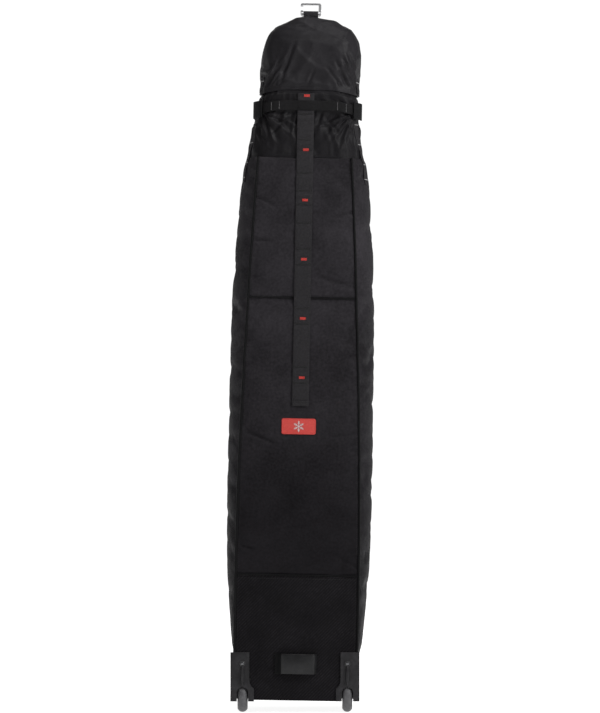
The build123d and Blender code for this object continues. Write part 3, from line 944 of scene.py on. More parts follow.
def surfaceOf(*names):
    trees = []
    for name in names:
        mesh = bpy.data.objects[name].data
        points = [v.co[:] for v in mesh.vertices]
        trees.append(BVHTree.FromPolygons(points, [list(p.vertices) for p in mesh.polygons]))
    return trees


def onto(trees, point, outwards, lift=0.0):
    # The point moved onto the outermost cloth along its outward direction
    outwards = Vector(outwards).normalized()
    start = Vector(point) + outwards * 0.06
    nearest = None
    for tree in trees:
        spot, normal, index, distance = tree.ray_cast(start, -outwards, 0.12)
        if spot is not None and (nearest is None or distance < nearest[1]):
            nearest = (spot, distance)
    spot = nearest[0] if nearest else Vector(point)
    return spot + outwards * (lift * mm)


def lay(trees, points, across, outwards, lift, width, soften=3):
    # Lays a strap's middle line over cloth, clear of the cloth under both its edges
    heights = []
    for point in points:
        spots = [onto(trees, point + across * (side * width * mm), outwards) for side in (-0.42, 0, 0.42)]
        heights.append(max((spot - point).dot(outwards) for spot in spots))
    laid = []
    for i, point in enumerate(points):
        near = heights[max(0, i - soften):i + soften + 1]
        height = max(sum(near) / len(near), heights[i] - 0.0004)
        laid.append(point + outwards * (height + lift * mm))
    return laid


frontSkin = surfaceOf("bootPanel", "lowerPanel", "upperPanel")

# Piping down both sides of the wheel face

pipingLook = {"radius": 3.1, "sides": 10, "step": 9}


def makePiping(name, direction, node):
    count = int(bagShape["top"] / pipingLook["step"])
    radius = pipingLook["radius"]
    def shape(u, v):
        h = v * bagShape["top"]
        wobble = 0.7 * noise.noise(Vector((direction * 5, h / 60, 0)))
        turn = 2 * math.pi * u
        x = direction * (halfWidth("face", h) + wobble)
        return place(x + radius * math.cos(turn), bagShape["faceY"] - 0.6 - radius * math.sin(turn), h)
    cord = gridSheet(name, count, pipingLook["sides"], shape, closed=True)
    closeEnds(cord)
    smooth(cord, 60)
    finishPiece(cord, name, "bag", pipingCloth, [node])


makePiping("pipingLeft", -1, "piping_left")
makePiping("pipingRight", 1, "piping_right")

# Neck sleeve, gathered under its strap

# Each section is (height, face half, side half, lid half, front, back, shift)
neckSections = [
    (1298, 112, 140, 118, -100, 100, 0), (1345, 109, 133, 113, -97, 96, 1.5),
    (1390, 105, 126, 107, -93, 91, 3), (1412, 103, 124, 105, -91.5, 87.5, 4),
    (1424, 102, 122.5, 104, -90.5, 85.5, 4.6), (1454, 101, 121, 102, -89.3, 80, 6.4),
    (1460, 96, 115, 97, -82.5, 75, 7), (1477, 94, 113, 95, -81.2, 73, 8.4),
]
topEdge = {"hem": 1463, "droop": 9}


def hemDroop(x):
    # The hood's hem and the neck under it hang lower at the sides
    return topEdge["droop"] * ease((abs(x - 6) - 50) / 70)


neckCreases = [
    (118, 1404, 44, 1366, 5.5, 4), (108, 1410, 52, 1330, 5, 4), (40, 1408, 84, 1352, 4.5, 3.5),
    (-112, 1404, -40, 1380, 4.5, 4), (-104, 1398, -84, 1338, 5, 4), (-30, 1402, -88, 1352, 3.5, 3.5),
]
hoodCreases = [
    (-64, 1482, -24, 1586, 9, 5), (98, 1478, 66, 1540, 7, 3.5), (112, 1484, 84, 1546, 6.5, 3.5),
    (82, 1474, 44, 1524, 6, 3.5), (-96, 1474, -74, 1512, 6, 4), (120, 1500, 96, 1560, 5, 3.5),
    (4, 1476, 22, 1520, 4, 3),
]
neckLook = {"rows": 48, "columns": 220, "folds": 30, "depth": 7.8, "wall": 4, "round": 0.035,
            "spare": 0.03, "pressure": 0.6, "most": 4}


def tugFolds(x, y, h, anchor, count, reach, seed):
    # Folds that fan out over the wheel side from a point where the cloth is pulled
    across, up = x - anchor[0], h - anchor[1]
    distance = math.hypot(across, up)
    fan = ridges(math.atan2(up, across) * count, seed, distance / 260, 5) - 0.5
    return fan * math.exp(-(distance / reach) ** 2) * min(1, distance / 18) * ease(-y / 40)


def sectionAt(sections, h):
    heights = [s[0] for s in sections]
    return [float(np.interp(h, heights, [s[i] for s in sections])) for i in range(1, 7)]


def outlinePoint(section, u, rounding):
    # u runs once round, from the front's left corner; rounding softens the corners
    face, side, rim, front, back, shift = section
    ends = [(shift - face, front), (shift + face, front), (shift + rim, back), (shift - rim, back)]
    corners = [Vector(end) for end in ends]
    middle = (front + back) / 2
    bulge = [None, Vector((shift + side, middle)), None, Vector((shift - side, middle))]
    total = Vector((0, 0))
    offsets = [-1, -0.75, -0.5, -0.25, 0, 0.25, 0.5, 0.75, 1]
    for offset in offsets:
        t = (u + offset * rounding) % 1 * 4
        k = min(int(t), 3)
        t -= k
        a, b = corners[k], corners[(k + 1) % 4]
        if bulge[k] is None:
            total += a.lerp(b, t)
        else:
            control = bulge[k] * 2 - (a + b) / 2
            total += a * (1 - t) ** 2 + control * (2 * t * (1 - t)) + b * t * t
    return total / len(offsets)


def ringSheet(name, rows, columns, sections, bottom, top, rounding):
    def shape(u, v):
        h = bottom + v * (top - bottom)
        p = outlinePoint(sectionAt(sections, h), u, rounding)
        return place(p.x, p.y, h)
    ring = gridSheet(name, rows, columns, shape, closed=True)
    turnOutwards(ring)
    return ring


def makeNeck():
    bottom, top = 1300, 1475
    rows, columns = neckLook["rows"], neckLook["columns"]
    sheet = ringSheet("neckSleeve", rows, columns, neckSections, bottom, top, neckLook["round"])
    for vertex in sheet.data.vertices:
        x, y, h = bagCoords(vertex.co)
        vertex.co -= bagUp * (hemDroop(x) * ease((h - 1405) / 40) * mm)
    def gathers(x, y, h):
        # pleats run down from the strap, spread and fade out before the bag's top seam
        turn = math.atan2(y, x - 4) * neckLook["folds"] / (2 * math.pi)
        drift = 1.6 * noise.noise(Vector((x / 60, y / 60, h / 70)))
        pleat = ridges(turn * 1.15 + drift, h / 260, 1.5, 2.2) - 0.62
        fine = ridges(turn * 2.3 + drift * 2, h / 130, 6.5, 2) - 0.65
        slant = ridges((x + h) / 46, (y - h * 0.3) / 60, 3.1, 3) - 0.6
        under = max(0.15, min(1, (h - 1300) / 90)) * min(1, (h - 1300) / 14)
        pinched = 0.35 if h > 1412 else 1
        tugs = tugFolds(x, y, h, (118, 1412), 4.2, 85, 2.5) + tugFolds(x, y, h, (-106, 1408), 4.2, 85, 8.5)
        soft = under * (0.8 * pleat + 0.4 * fine + 0.5 * slant) + 1.5 * tugs * min(1, (h - 1300) / 20)
        sharp = creased(x, y, h, neckCreases) * (1 if h < 1412 else 0.3)
        return neckLook["depth"] * pinched * soft + sharp
    sculpt(sheet, gathers)
    def held(p):
        x, y, h = p
        return 1.0 if h < bottom + 4 or h > 1408 else 0.0
    relaxCloth(sheet, held, neckLook)
    subdivide(sheet)
    outer = thicken(sheet, neckLook["wall"])
    smooth(sheet, 70)
    finishPiece(sheet, "neckSleeve", "bag", [neckCloth, liningCloth], ["neck_sleeve"])
    lineInside(sheet, outer)


makeNeck()
print("neck made")

# Hood: a cap with a hem

hoodSections = [
    (1463, 101.5, 122, 102.5, -87.5, 83, 8.2), (1500, 99, 121, 100, -86, 79, 9),
    (1533, 98, 120, 98, -84.5, 74, 10.5), (1560, 96, 119, 95, -82.5, 68, 12),
    (1581, 92, 116, 90, -79, 60, 13), (1600, 82, 109, 79, -73, 50, 13.5),
    (1620, 66, 91, 60, -64, 36, 13), (1632, 49, 68, 44, -55, 22, 12), (1640, 30, 40, 24, -46, 8, 11),
]
hoodLook = {"rows": 56, "columns": 200, "wall": 3.6, "round": 0.05, "fold": 8.2, "hem": 9, "blend": 26,
            "spare": 0.02, "pressure": 0.9, "most": 5}


def makeHood():
    bottom, top = topEdge["hem"], 1640
    # rows are spaced by the shell's slope, so they stay close together over the crown
    run = [0.0]
    for a, b in zip(hoodSections, hoodSections[1:]):
        run.append(run[-1] + math.hypot(b[0] - a[0], b[2] - a[2]))
    def sectionAlong(distance):
        # sections blend into each other along the slope
        reach = min(hoodLook["blend"], distance, run[-1] - distance)
        spots = distance + np.linspace(-reach, reach, 9)
        return [float(np.interp(spots, run, [s[i] for s in hoodSections]).mean()) for i in range(7)]
    def shape(u, v):
        h, *section = sectionAlong(v * run[-1])
        p = outlinePoint(section, u, hoodLook["round"])
        return place(p.x, p.y, max(bottom, h))
    sheet = gridSheet("hood", hoodLook["rows"], hoodLook["columns"], shape, closed=True)
    for vertex in sheet.data.vertices:
        x, y, h = bagCoords(vertex.co)
        vertex.co -= bagUp * (hemDroop(x) * math.exp(-(h - bottom) / 40) * mm)
    only(sheet)
    bpy.ops.object.mode_set(mode="EDIT")
    bpy.ops.mesh.select_all(action="DESELECT")
    bpy.ops.object.mode_set(mode="OBJECT")
    for vertex in sheet.data.vertices:
        vertex.select = bagCoords(vertex.co)[2] > top - 0.5
    bpy.ops.object.mode_set(mode="EDIT")
    bpy.ops.mesh.select_mode(type="VERT")
    # closes the crown with shrinking rings
    for shrink, rise in ((0.78, 2.6), (0.72, 2.2), (0.6, 1.4), (0.3, 0.6)):
        bpy.ops.mesh.extrude_region_move()
        bpy.ops.transform.resize(value=(shrink, shrink, 1), center_override=place(10, -20, top)[:])
        bpy.ops.transform.translate(value=(bagUp * (rise * mm))[:])
    bpy.ops.mesh.merge(type="CENTER")
    bpy.ops.mesh.select_all(action="SELECT")
    bpy.ops.mesh.normals_make_consistent(inside=False)
    bpy.ops.object.mode_set(mode="OBJECT")
    def folds(x, y, h):
        # broad slanted folds that cross the cap, with softer ones over the crown
        rise = ease((h - bottom) / 50)
        long = ridges((x * 0.55 + h) / 74, (x - h) / 210, y / 190, 3) - 0.55
        cross = ridges((h - x * 0.8) / 66, (x + h) / 240, 5 + y / 160, 3) - 0.6
        tugs = ridges(x / 34, 9 + y / 34, h / 120, 3) - 0.6
        hem = math.exp(-((h - bottom - hoodLook["hem"]) / 2.2) ** 2)
        fans = tugFolds(x, y, h, (122, 1446), 4.6, 95, 4.5) + tugFolds(x, y, h, (-108, 1446), 4.6, 95, 11.5)
        calm = ease((h - bottom - 6) / 10)
        rise *= 1 - 0.6 * ease((abs(x - 9) - 80) / 30)
        low = math.exp(-(h - bottom) / 30)
        soft = rise * (0.8 * long + 0.7 * cross) + 1.3 * fans * calm + 0.35 * tugs * low
        return hoodLook["fold"] * soft - 1.2 * hem + creased(x, y, h, hoodCreases)
    sculpt(sheet, folds)
    def held(p):
        x, y, h = p
        return 1.0 if h < bottom + 11 or h > 1622 else 0.0
    relaxCloth(sheet, held, hoodLook)
    subdivide(sheet)
    outer = thicken(sheet, hoodLook["wall"])
    smooth(sheet, 70)
    finishPiece(sheet, "hood", "hood", [hoodCloth, liningCloth], ["hood_shell"])
    lineInside(sheet, outer)


makeHood()


def makeHoodHinge():
    # The cloth that joins the hood to the neck along the wheel face, on the inside
    depths = [-86.0, -85.2, -84.6, -84.2, -83.8, -83.2, -82.4]
    heights = [1434, 1446, 1456, 1460, 1464, 1472, 1484]
    path = [place(0, depth, h) for depth, h in zip(depths, heights)]
    path = [p + bagAcross * 0.006 for p in smoothPath(path, 5)]
    hinge = strap("hoodHinge", path, bagAcross, 150, 1.2, 0.3, 30)
    between = ("bag", "hood", tuple(place(0, -85, 1446)), tuple(place(0, -84, 1466)))
    finishPiece(hinge, "hoodHinge", between, hoodCloth)


makeHoodHinge()
print("hood made")

# Webbing ladders

ladderLook = {"width": 40, "thick": 2.0, "bottom": 705, "slack": 1.6}
tabHeights = [771, 913, 1055, 1197, 1318, 1448.5]
barHeights = [712, 758, 797, 900, 937, 1042, 1079, 1142, 1186, 1219, 1262, 1318, 1342, 1404]


def faceDepth(h):
    # How far forward the middle of the wheel side is at a height
    swell = faceLook["crown"] * 0.9 * (1 if h < 1250 else max(0, (1300 - h) / 50))
    neckFront = float(np.interp(h, [1300, 1390, 1412, 1446], [-100, -93.5, -92, -90]))
    return (bagShape["faceY"] if h < 1300 else neckFront) - swell


def makeLadder():
    top = 1455
    front = frontSkin + surfaceOf("neckSleeve")
    path = []
    count = 190
    marks = sorted(barHeights + tabHeights)
    for i in range(count + 1):
        h = ladderLook["bottom"] + (top - ladderLook["bottom"]) * i / count
        nearest = min(abs(h - mark) for mark in marks)
        slack = ladderLook["slack"] * min(1, nearest / 14) ** 2 * (3 - 2 * min(1, nearest / 14))
        path.append((place(0.6 * noise.noise(Vector((0, h / 120, 0))), faceDepth(h), h), slack))
    laid = lay(front, [p for p, slack in path], bagAcross, out, 1.2, ladderLook["width"], 5)
    laid = [p + out * (slack * mm) for p, (start, slack) in zip(laid, path)]
    ladder = strap("centreWebbing", laid, bagAcross, ladderLook["width"], ladderLook["thick"])
    finishPiece(ladder, "centreWebbing", "bag", strapCloth, ["centre_webbing"])
    web = surfaceOf("centreWebbing")
    # the lower end is folded under itself
    end = ladderLook["bottom"]
    depth = bagCoords(onto(web, place(0, faceDepth(end), end + 1), out))[1]
    fold = [place(0, depth + 1.4, end + 4), place(0, depth + 1.2, end - 0.6), place(0, depth, end - 1.6),
            place(0, depth - 0.6, end - 0.6), place(0, depth - 0.8, end + 3), place(0, depth - 0.8, end + 11)]
    hem = strap("ladderEnd", smoothPath(fold, 4), bagAcross, ladderLook["width"] - 0.6, 1.2)
    finishPiece(hem, "ladderEnd", "bag", strapCloth)
    bars, tabs = [], []
    width = ladderLook["width"]
    for h in barHeights:
        bars += bartack(onto(web, place(0, faceDepth(h), h), out, 0.2), bagAcross, out, width - 5, 3.2, 1.6)
    for h in (ladderLook["bottom"] + 4, ladderLook["bottom"] + 9):
        path = [place(x, depth - 1.4, h) for x in (-width / 2 + 2, width / 2 - 2)]
        bars += rowOfStitches(path, out, 3.4, 2.6, 0.9)
    for side in (-1, 1):
        edge = []
        for i in range(61):
            h = end + 12 + (1300 - end - 12) * i / 60
            edge.append(onto(web, place(side * (width / 2 - 2.2), faceDepth(h), h), out, 0.1))
        bars += rowOfStitches(edge, out, 4.4, 2.6, 0.6)
    sewStitches("ladderStitches", bars, "bag", blackThread)
    for h in tabHeights:
        for row in range(5):
            line = h - 2.4 + row * 1.2
            for column in range(10):
                spot = onto(web, place(2 + (column - 4.5) * 1.35, faceDepth(h), line), out, 0.5)
                tabs.append((spot, bagAcross + bagUp * 0.25, out, 1.9, 1.25))
    sewStitches("ladderTabs", tabs, "bag", redThread, ["ladder_tabs"])


makeLadder()

sideLook = {
    "width": 25, "thick": 2.0, "depth": -34, "bottom": 1240, "top": 1441, "hoodBottom": 1458, "hoodTop": 1494,
    "slack": 0.5,
}
whiteBars = [1252, 1288, 1336, 1384, 1436]
hoodBars = [1486]


def sideBand(name, direction, bottom, top, cloths, bars, body, nodes):
    # A ladder of webbing down one side, with white bars that fasten it to the cloth
    trees = surfaceOf(*cloths)
    away = bagAcross * direction
    half = sideLook["width"] / 2
    points, across = [], []
    rows = int((top - bottom) / 3)
    for i in range(rows + 1):
        h = bottom + (top - bottom) * i / rows
        near = onto(trees, place(direction * 128, sideLook["depth"] - half * 0.8, h), away)
        far = onto(trees, place(direction * 128, sideLook["depth"] + half * 0.8, h), away)
        middle = onto(trees, place(direction * 128, sideLook["depth"], h), away)
        across.append((far - near).normalized())
        points.append((middle * 2 + near + far) / 4)
    reach = 4
    smoothed = []
    for i in range(rows + 1):
        near = points[max(0, i - reach):i + reach + 1]
        h = bottom + (top - bottom) * i / rows
        slack = sideLook["slack"] * (1 if body == "bag" else 0.3)
        slack *= ease(min(abs(h - bar) for bar in bars) / 16)
        # the webbing stays over the strap that runs under it
        fromStrap = abs(h - (strapLook["low"] + strapLook["high"]) / 2 + strapLook["droop"])
        over = 3.4 * ease((21 - fromStrap) / 7) if body == "bag" else 0
        level = sum((p.dot(away) for p in near), 0.0) / len(near)
        p = points[i]
        lift = max(level, p.dot(away) - 0.0005) - p.dot(away)
        smoothed.append(p + away * (lift + (0.9 + max(slack, over)) * mm))
    turn = []
    for i in range(rows + 1):
        turn.append(sum(across[max(0, i - reach):i + reach + 1], Vector((0, 0, 0))).normalized())
    band = strap(name, smoothed, turn, sideLook["width"], sideLook["thick"])
    finishPiece(band, name, body, strapCloth, nodes)
    stitches = []
    for bar in bars:
        row = min(range(rows + 1), key=lambda i: abs(bottom + (top - bottom) * i / rows - bar))
        outwards = bagUp.cross(turn[row]).normalized()
        if outwards.dot(away) < 0:
            outwards = -outwards
        middle = smoothed[row] + outwards * (1.1 * mm)
        stitches += bartack(middle, turn[row], outwards, sideLook["width"] - 1.5, 2.6, 1.6)
    sewStitches(name + "Bars", stitches, body, paleThread)


def makeSideLadder(direction, word, node, hoodNode):
    sideBand("sideWebbing" + word, direction, sideLook["bottom"], sideLook["top"],
             ["gusset" + word, "neckSleeve"], whiteBars, "bag", [node])
    sideBand("hoodWebbing" + word, direction, sideLook["hoodBottom"], sideLook["hoodTop"],
             ["hood"], hoodBars, "hood", [hoodNode])


strapLook = {
    "low": 1413, "high": 1437, "thick": 2.0, "section": (103.5, 129.3, 106, -95.0, 87.5, 4.6),
    "round": 0.03, "droop": 9,
}
makeSideLadder(-1, "Left", "side_webbing_left", "hood_webbing_left")
makeSideLadder(1, "Right", "side_webbing_right", "hood_webbing_right")
print("ladders made")

# Neck strap and its buckle


def strapHeight(x):
    # The strap hangs lower at the sides than over the ladder
    middle = (strapLook["low"] + strapLook["high"]) / 2
    return middle - strapLook["droop"] * ease((abs(x - 4) - 55) / 72)


# Depth, and how far the keeper stands off the strap there
keeperPath = [(-82, 1.0), (-76, 2.6), (-66, 4.0), (-56, 4.6), (-46, 4.2), (-38, 3.2), (-32, 1.6)]


def makeNeckStrap():
    trees = surfaceOf("neckSleeve", "centreWebbing")
    section = strapLook["section"]
    centre = Vector((section[5], (section[3] + section[4]) / 2))
    # the ring is open behind, from the buckle to the ladder lock
    openLeft, openRight = -33, 112
    count = 200
    ring = [outlinePoint(section, i / count, strapLook["round"]) for i in range(count)]
    gap = [i for i, p in enumerate(ring) if p.y > 82 and openLeft < p.x < openRight]
    ring = ring[max(gap) + 1:] + ring[:min(gap)]
    points, outwards = [], []
    for p in ring:
        away = (bagAcross * (p.x - centre.x) * 0.8 + behind * (p.y - centre.y)).normalized()
        spot = place(p.x, p.y, strapHeight(p.x))
        rise = max((onto(trees, spot + bagUp * (side * mm), away) - spot).dot(away) for side in (-8, 0, 8))
        points.append(spot + away * max(rise, -0.002))
        outwards.append(away)
    reach = 3
    laid = []
    for i in range(len(points)):
        near = points[max(0, i - reach):i + reach + 1]
        average = sum(near, Vector((0, 0, 0))) / len(near)
        push = max((points[i] - average).dot(outwards[i]), 0) * 0.8
        laid.append(average + outwards[i] * (push + 1.1 * mm))
    band = strap("neckStrap", laid, bagUp, strapLook["high"] - strapLook["low"], strapLook["thick"])
    finishPiece(band, "neckStrap", "bag", darkStrapCloth, ["neck_strap"])
    web = surfaceOf("neckStrap")
    bars = []
    for x in (-83, -64, 76, 97):
        spot = onto(web, place(x, -90, strapHeight(x)), out, 0.3)
        bars += bartack(spot, bagUp, out, 19, 2.0, 1.5)
    sewStitches("neckStrapBars", bars, "bag", greyThread)
    # folded keepers hold the strap at both sides of the wheel face
    for side, name in ((-1, "strapKeeperLeft"), (1, "strapKeeperRight")):
        path = []
        for depth, extra in keeperPath:
            p = min((q for q in ring if (q.x - centre.x) * side > 0), key=lambda q: abs(q.y - depth))
            path.append(place(p.x + side * (extra + 1.5), p.y - extra * 0.4, strapHeight(p.x) - 2))
        keeper = strap(name, smoothPath(path, 5), bagUp, 40, 3.4, 1.2)
        finishPiece(keeper, name, "bag", zipCloth)


makeNeckStrap()
refine("buckle_socket", "buckleSocket", "bag", bucklePlastic, 1.0)
refine("buckle_arms", "buckleArms", "buckle", bucklePlastic, 0.9)


def makeStrapTail():
    # The tail bends between the buckle, which pulls away, and the neck
    middle = (strapLook["low"] + strapLook["high"]) / 2
    path = []
    for x in np.linspace(27, 88, 26):
        path.append(place(x, 91.2 + 2.0 * ease((40 - x) / 14) - 1.6 * ease((x - 60) / 40), middle))
    tail = strap("neckStrapTail", path[::-1], bagUp, strapLook["high"] - strapLook["low"] - 1, 1.8)
    finishPiece(tail, "neckStrapTail", "buckle", strapCloth, ["neck_strap_tail"])


makeStrapTail()
print("neck strap made")

# Patch

patchLook = {"x": -3, "h": 654, "width": 82, "height": 38, "corner": 5}


def makePatch():
    width, height = patchLook["width"] / 2, patchLook["height"] / 2
    middle = (patchLook["x"], patchLook["h"])
    depths = []
    for x in (-35, 0, 35):
        for h in (-14, 0, 14):
            spot = onto(frontSkin, place(middle[0] + x, -100, middle[1] + h), out)
            depths.append(bagCoords(spot)[1])
    depth = min(depths)
    def shape(u, v):
        x, h = (2 * u - 1) * width, (2 * v - 1) * height
        # pulls the square corners in to a round
        cornerX = max(0, abs(x) - width + patchLook["corner"])
        cornerH = max(0, abs(h) - height + patchLook["corner"])
        reach = math.hypot(cornerX, cornerH)
        if reach > patchLook["corner"]:
            squeeze = patchLook["corner"] / reach
            x = math.copysign(width - patchLook["corner"] + cornerX * squeeze, x)
            h = math.copysign(height - patchLook["corner"] + cornerH * squeeze, h)
        lift = 0.5 * (1 - (x / width) ** 2) * (1 - (h / height) ** 2)
        return place(middle[0] + x, depth - 0.4 - lift, middle[1] + h)
    patch = gridSheet("frontPatch", 18, 36, shape)
    pointOutwards(patch, out)
    thicken(patch, 1.0, offset=1)
    smooth(patch, 50)
    finishPiece(patch, "frontPatch", "bag", redThread, ["front_patch"])
    edge = []
    steps = 72
    for i in range(steps + 1):
        turn = 2 * math.pi * i / steps
        squareness = 0.28
        c, s = math.cos(turn), math.sin(turn)
        x = math.copysign(abs(c) ** squareness, c) * (width - 1.2)
        h = math.copysign(abs(s) ** squareness, s) * (height - 1.2)
        edge.append(place(middle[0] + x, depth - 1.6, middle[1] + h))
    sewStitches("patchEdge", rowOfStitches(edge, out, 1.7, 2.6, 1.5), "bag", redThread)
    # a plain six-armed snowflake
    flake = []
    for arm in range(6):
        turn = math.radians(60 * arm + 30)
        along = bagAcross * math.cos(turn) + bagUp * math.sin(turn)
        centre = place(middle[0], depth - 2.3, middle[1])
        for step in range(5):
            flake.append((centre + along * ((1.6 + step * 2.6) * mm), along, out, 3.2, 1.6))
        for twig in (-1, 1):
            slant = turn + twig * math.radians(55)
            branch = bagAcross * math.cos(slant) + bagUp * math.sin(slant)
            for reach, length in ((5.5, 3.8), (9.2, 3.0)):
                spot = centre + along * (reach * mm) + branch * (length * 0.5 * mm)
                flake.append((spot, branch, out, length, 1.3))
    sewStitches("patchSnowflake", flake, "bag", whiteThread)


makePatch()

# Handles

handleLook = {"span": 99, "rise": 16, "width": 48, "h": 85, "ramps": (0.2, 0.07), "shadowFlap": -34}


def archPath(span, rise, count=40, ramps=(0.19, 0.19)):
    # Distance along and off the face; both ends lie flat on it
    path = []
    for i in range(count + 1):
        t = i / count
        lift = min(ease(t / ramps[0]), ease((1 - t) / ramps[1]))
        path.append(((t - 0.5) * span, rise * lift * (0.68 + 0.32 * math.sin(math.pi * t))))
    return path


def makeGrabHandle():
    base = bagCoords(onto(frontSkin, place(0, -100, handleLook["h"]), out))[1]
    arch = archPath(handleLook["span"], handleLook["rise"], 48, handleLook["ramps"])
    path = [place(x, base - 1.2 - lift, handleLook["h"]) for x, lift in arch]
    grip = strap("grabHandle", path, bagUp, handleLook["width"], 3.2, 1.0, 12)
    for vertex in grip.data.vertices:
        x, y, h = bagCoords(vertex.co)
        # the band cups a little, and its upper edge stands proud
        curl = ((h - handleLook["h"]) / (handleLook["width"] / 2)) ** 2
        middle = ease(1.3 - abs(x) / 36)
        vertex.co += behind * (2.6 * curl * middle * mm)
    finishPiece(grip, "grabHandle", "bag", gripRubber, ["grab_handle"])
    # a black flap over the ramp at the left end stands in for the shade in the handle's opening: painted
    # shade
    ramp = [p + out * (2.4 * mm) for p in path if bagCoords(p)[0] < handleLook["shadowFlap"]]
    shadowFlap = strap("grabHandleShadowFlap", ramp, bagUp, handleLook["width"] + 1, 1.2, 0.4)
    finishPiece(shadowFlap, "grabHandleShadowFlap", "bag", pipingCloth)
    bars = []
    for side in (-1, 1):
        for line in (0, 3.2):
            x = side * (handleLook["span"] / 2 - 3 - line)
            spot = place(x, base - 3.0, handleLook["h"])
            bars += bartack(spot, bagUp, out, handleLook["width"] - 6, 2.6, 1.6)
    sewStitches("grabHandleBars", bars, "bag", blackThread)


makeGrabHandle()

haulLook = {"span": 190, "rise": 26, "width": 28, "h": 650, "grip": 84, "y": 102.3}


def makeHaulHandle():
    arch = archPath(haulLook["span"], haulLook["rise"], 60)
    path = [place(0, haulLook["y"] + 1.2 + lift, haulLook["h"] + along) for along, lift in arch]
    band = strap("haulHandle", path, bagAcross, haulLook["width"], 2.2)
    finishPiece(band, "haulHandle", "lid", strapCloth, ["haul_handle"])
    # a soft sleeve round the middle of the handle
    def shape(u, v):
        turn = 2 * math.pi * u
        along = (v - 0.5) * haulLook["grip"]
        plump = 1 - 0.35 * abs(2 * v - 1) ** 6
        ripple = 1 + 0.02 * math.cos(v * 30 * math.pi)
        x = 16.5 * math.cos(turn) * plump * ripple
        y = 4.6 * math.sin(turn) * plump * ripple
        return place(x, haulLook["y"] + haulLook["rise"] * 0.97 + y - 1.0, haulLook["h"] + along)
    sleeve = gridSheet("haulGrip", 60, 24, shape, closed=True)
    closeEnds(sleeve)
    smooth(sleeve, 50)
    finishPiece(sleeve, "haulGrip", "lid", gripRubber)
    bars = []
    for side in (-1, 1):
        for reach in (3, 13):
            h = haulLook["h"] + side * (haulLook["span"] / 2 - reach)
            bars += bartack(place(0, haulLook["y"] + 2.5, h), bagAcross, behind, 23, 2.8, 1.6)
    sewStitches("haulHandleBars", bars, "lid", blackThread)


makeHaulHandle()

towLook = {"axisH": 1398, "y": 103, "width": 130, "drop": 70, "band": 22}


def towDepth(h):
    # The band lies further out below its hinge line, clear of the neck
    return towLook["y"] - 2.7 * ease((h - towLook["axisH"] + 22) / 18)


def makeTowHandle():
    half = towLook["width"] / 2 - towLook["band"] / 2
    top, bottom = towLook["axisH"] - 1, towLook["axisH"] - towLook["drop"] + towLook["band"] / 2
    bend = 13
    leftSide = [(-half, top), (-half, top - 22), (-half, bottom + bend),
                (-half + bend * 0.3, bottom + bend * 0.3), (-half + bend, bottom)]
    points = leftSide + [(0, bottom)] + [(-x, h) for x, h in reversed(leftSide)]
    path = smoothPath([place(x, towDepth(h), h) for x, h in points], 6)
    across = []
    for i in range(len(path)):
        along = (path[min(i + 1, len(path) - 1)] - path[max(i - 1, 0)]).normalized()
        across.append(along.cross(behind).normalized())
    loop = strap("towHandle", path, across, towLook["band"] - 1, 2.6, 0.8)
    finishPiece(loop, "towHandle", "tow_loop", strapCloth, ["tow_handle"])
    line = [place(x, towLook["y"] + 0.2, bottom) for x in np.linspace(-30, 30, 20)]
    grip = strap("towGrip", line, bagUp, towLook["band"] + 1, 5.2, 1.8)
    finishPiece(grip, "towGrip", "tow_loop", gripRubber)
    bars = []
    for side in (-1, 1):
        bars += bartack(place(side * 40, towLook["y"] + 1.5, bottom), bagUp, behind, 18, 2.8, 1.6)
        bars += bartack(place(side * half, towDepth(top - 5) + 1.5, top - 5), bagAcross, behind, 18, 2.8, 1.6)
    sewStitches("towHandleBars", bars, "tow_loop", blackThread)


makeTowHandle()
refine("tow_anchors", "towAnchors", "bag", zipCloth, 1.2)
print("handles made")

# Lid, its rim, hinge and zip

lidLook = {"margin": 17, "back": 90.6, "edge": 99.5, "crown": 3.2, "corner": 26}


def lidOutline(margin, count=260, bottom=0.0):
    # Points once round the lid, a margin in from its edge, with rounded corners
    low, high = margin + bottom, bagShape["top"] - margin
    corners = [(-halfWidth("rim", low) + margin, low), (halfWidth("rim", low) - margin, low)]
    for h in np.linspace(low + 20, high - 20, 40):
        corners.append((halfWidth("rim", h) - margin, h))
    corners += [(halfWidth("rim", high) - margin, high), (-halfWidth("rim", high) + margin, high)]
    for h in np.linspace(high - 20, low + 20, 40):
        corners.append((-halfWidth("rim", h) + margin, h))
    corners.append(corners[0])
    points = np.array(corners, float)
    run = np.concatenate([[0], np.cumsum(np.linalg.norm(np.diff(points, axis=0), axis=1))])
    places = np.linspace(0, run[-1], count * 8, endpoint=False)
    fine = np.stack([np.interp(places, run, points[:, 0]), np.interp(places, run, points[:, 1])], 1)
    window = max(1, int(lidLook["corner"] / 2 / (run[-1] / len(fine))))
    soft = sum(np.roll(fine, k, axis=0) for k in range(-window, window + 1)) / (2 * window + 1)
    return [Vector(p) for p in soft[::8]]


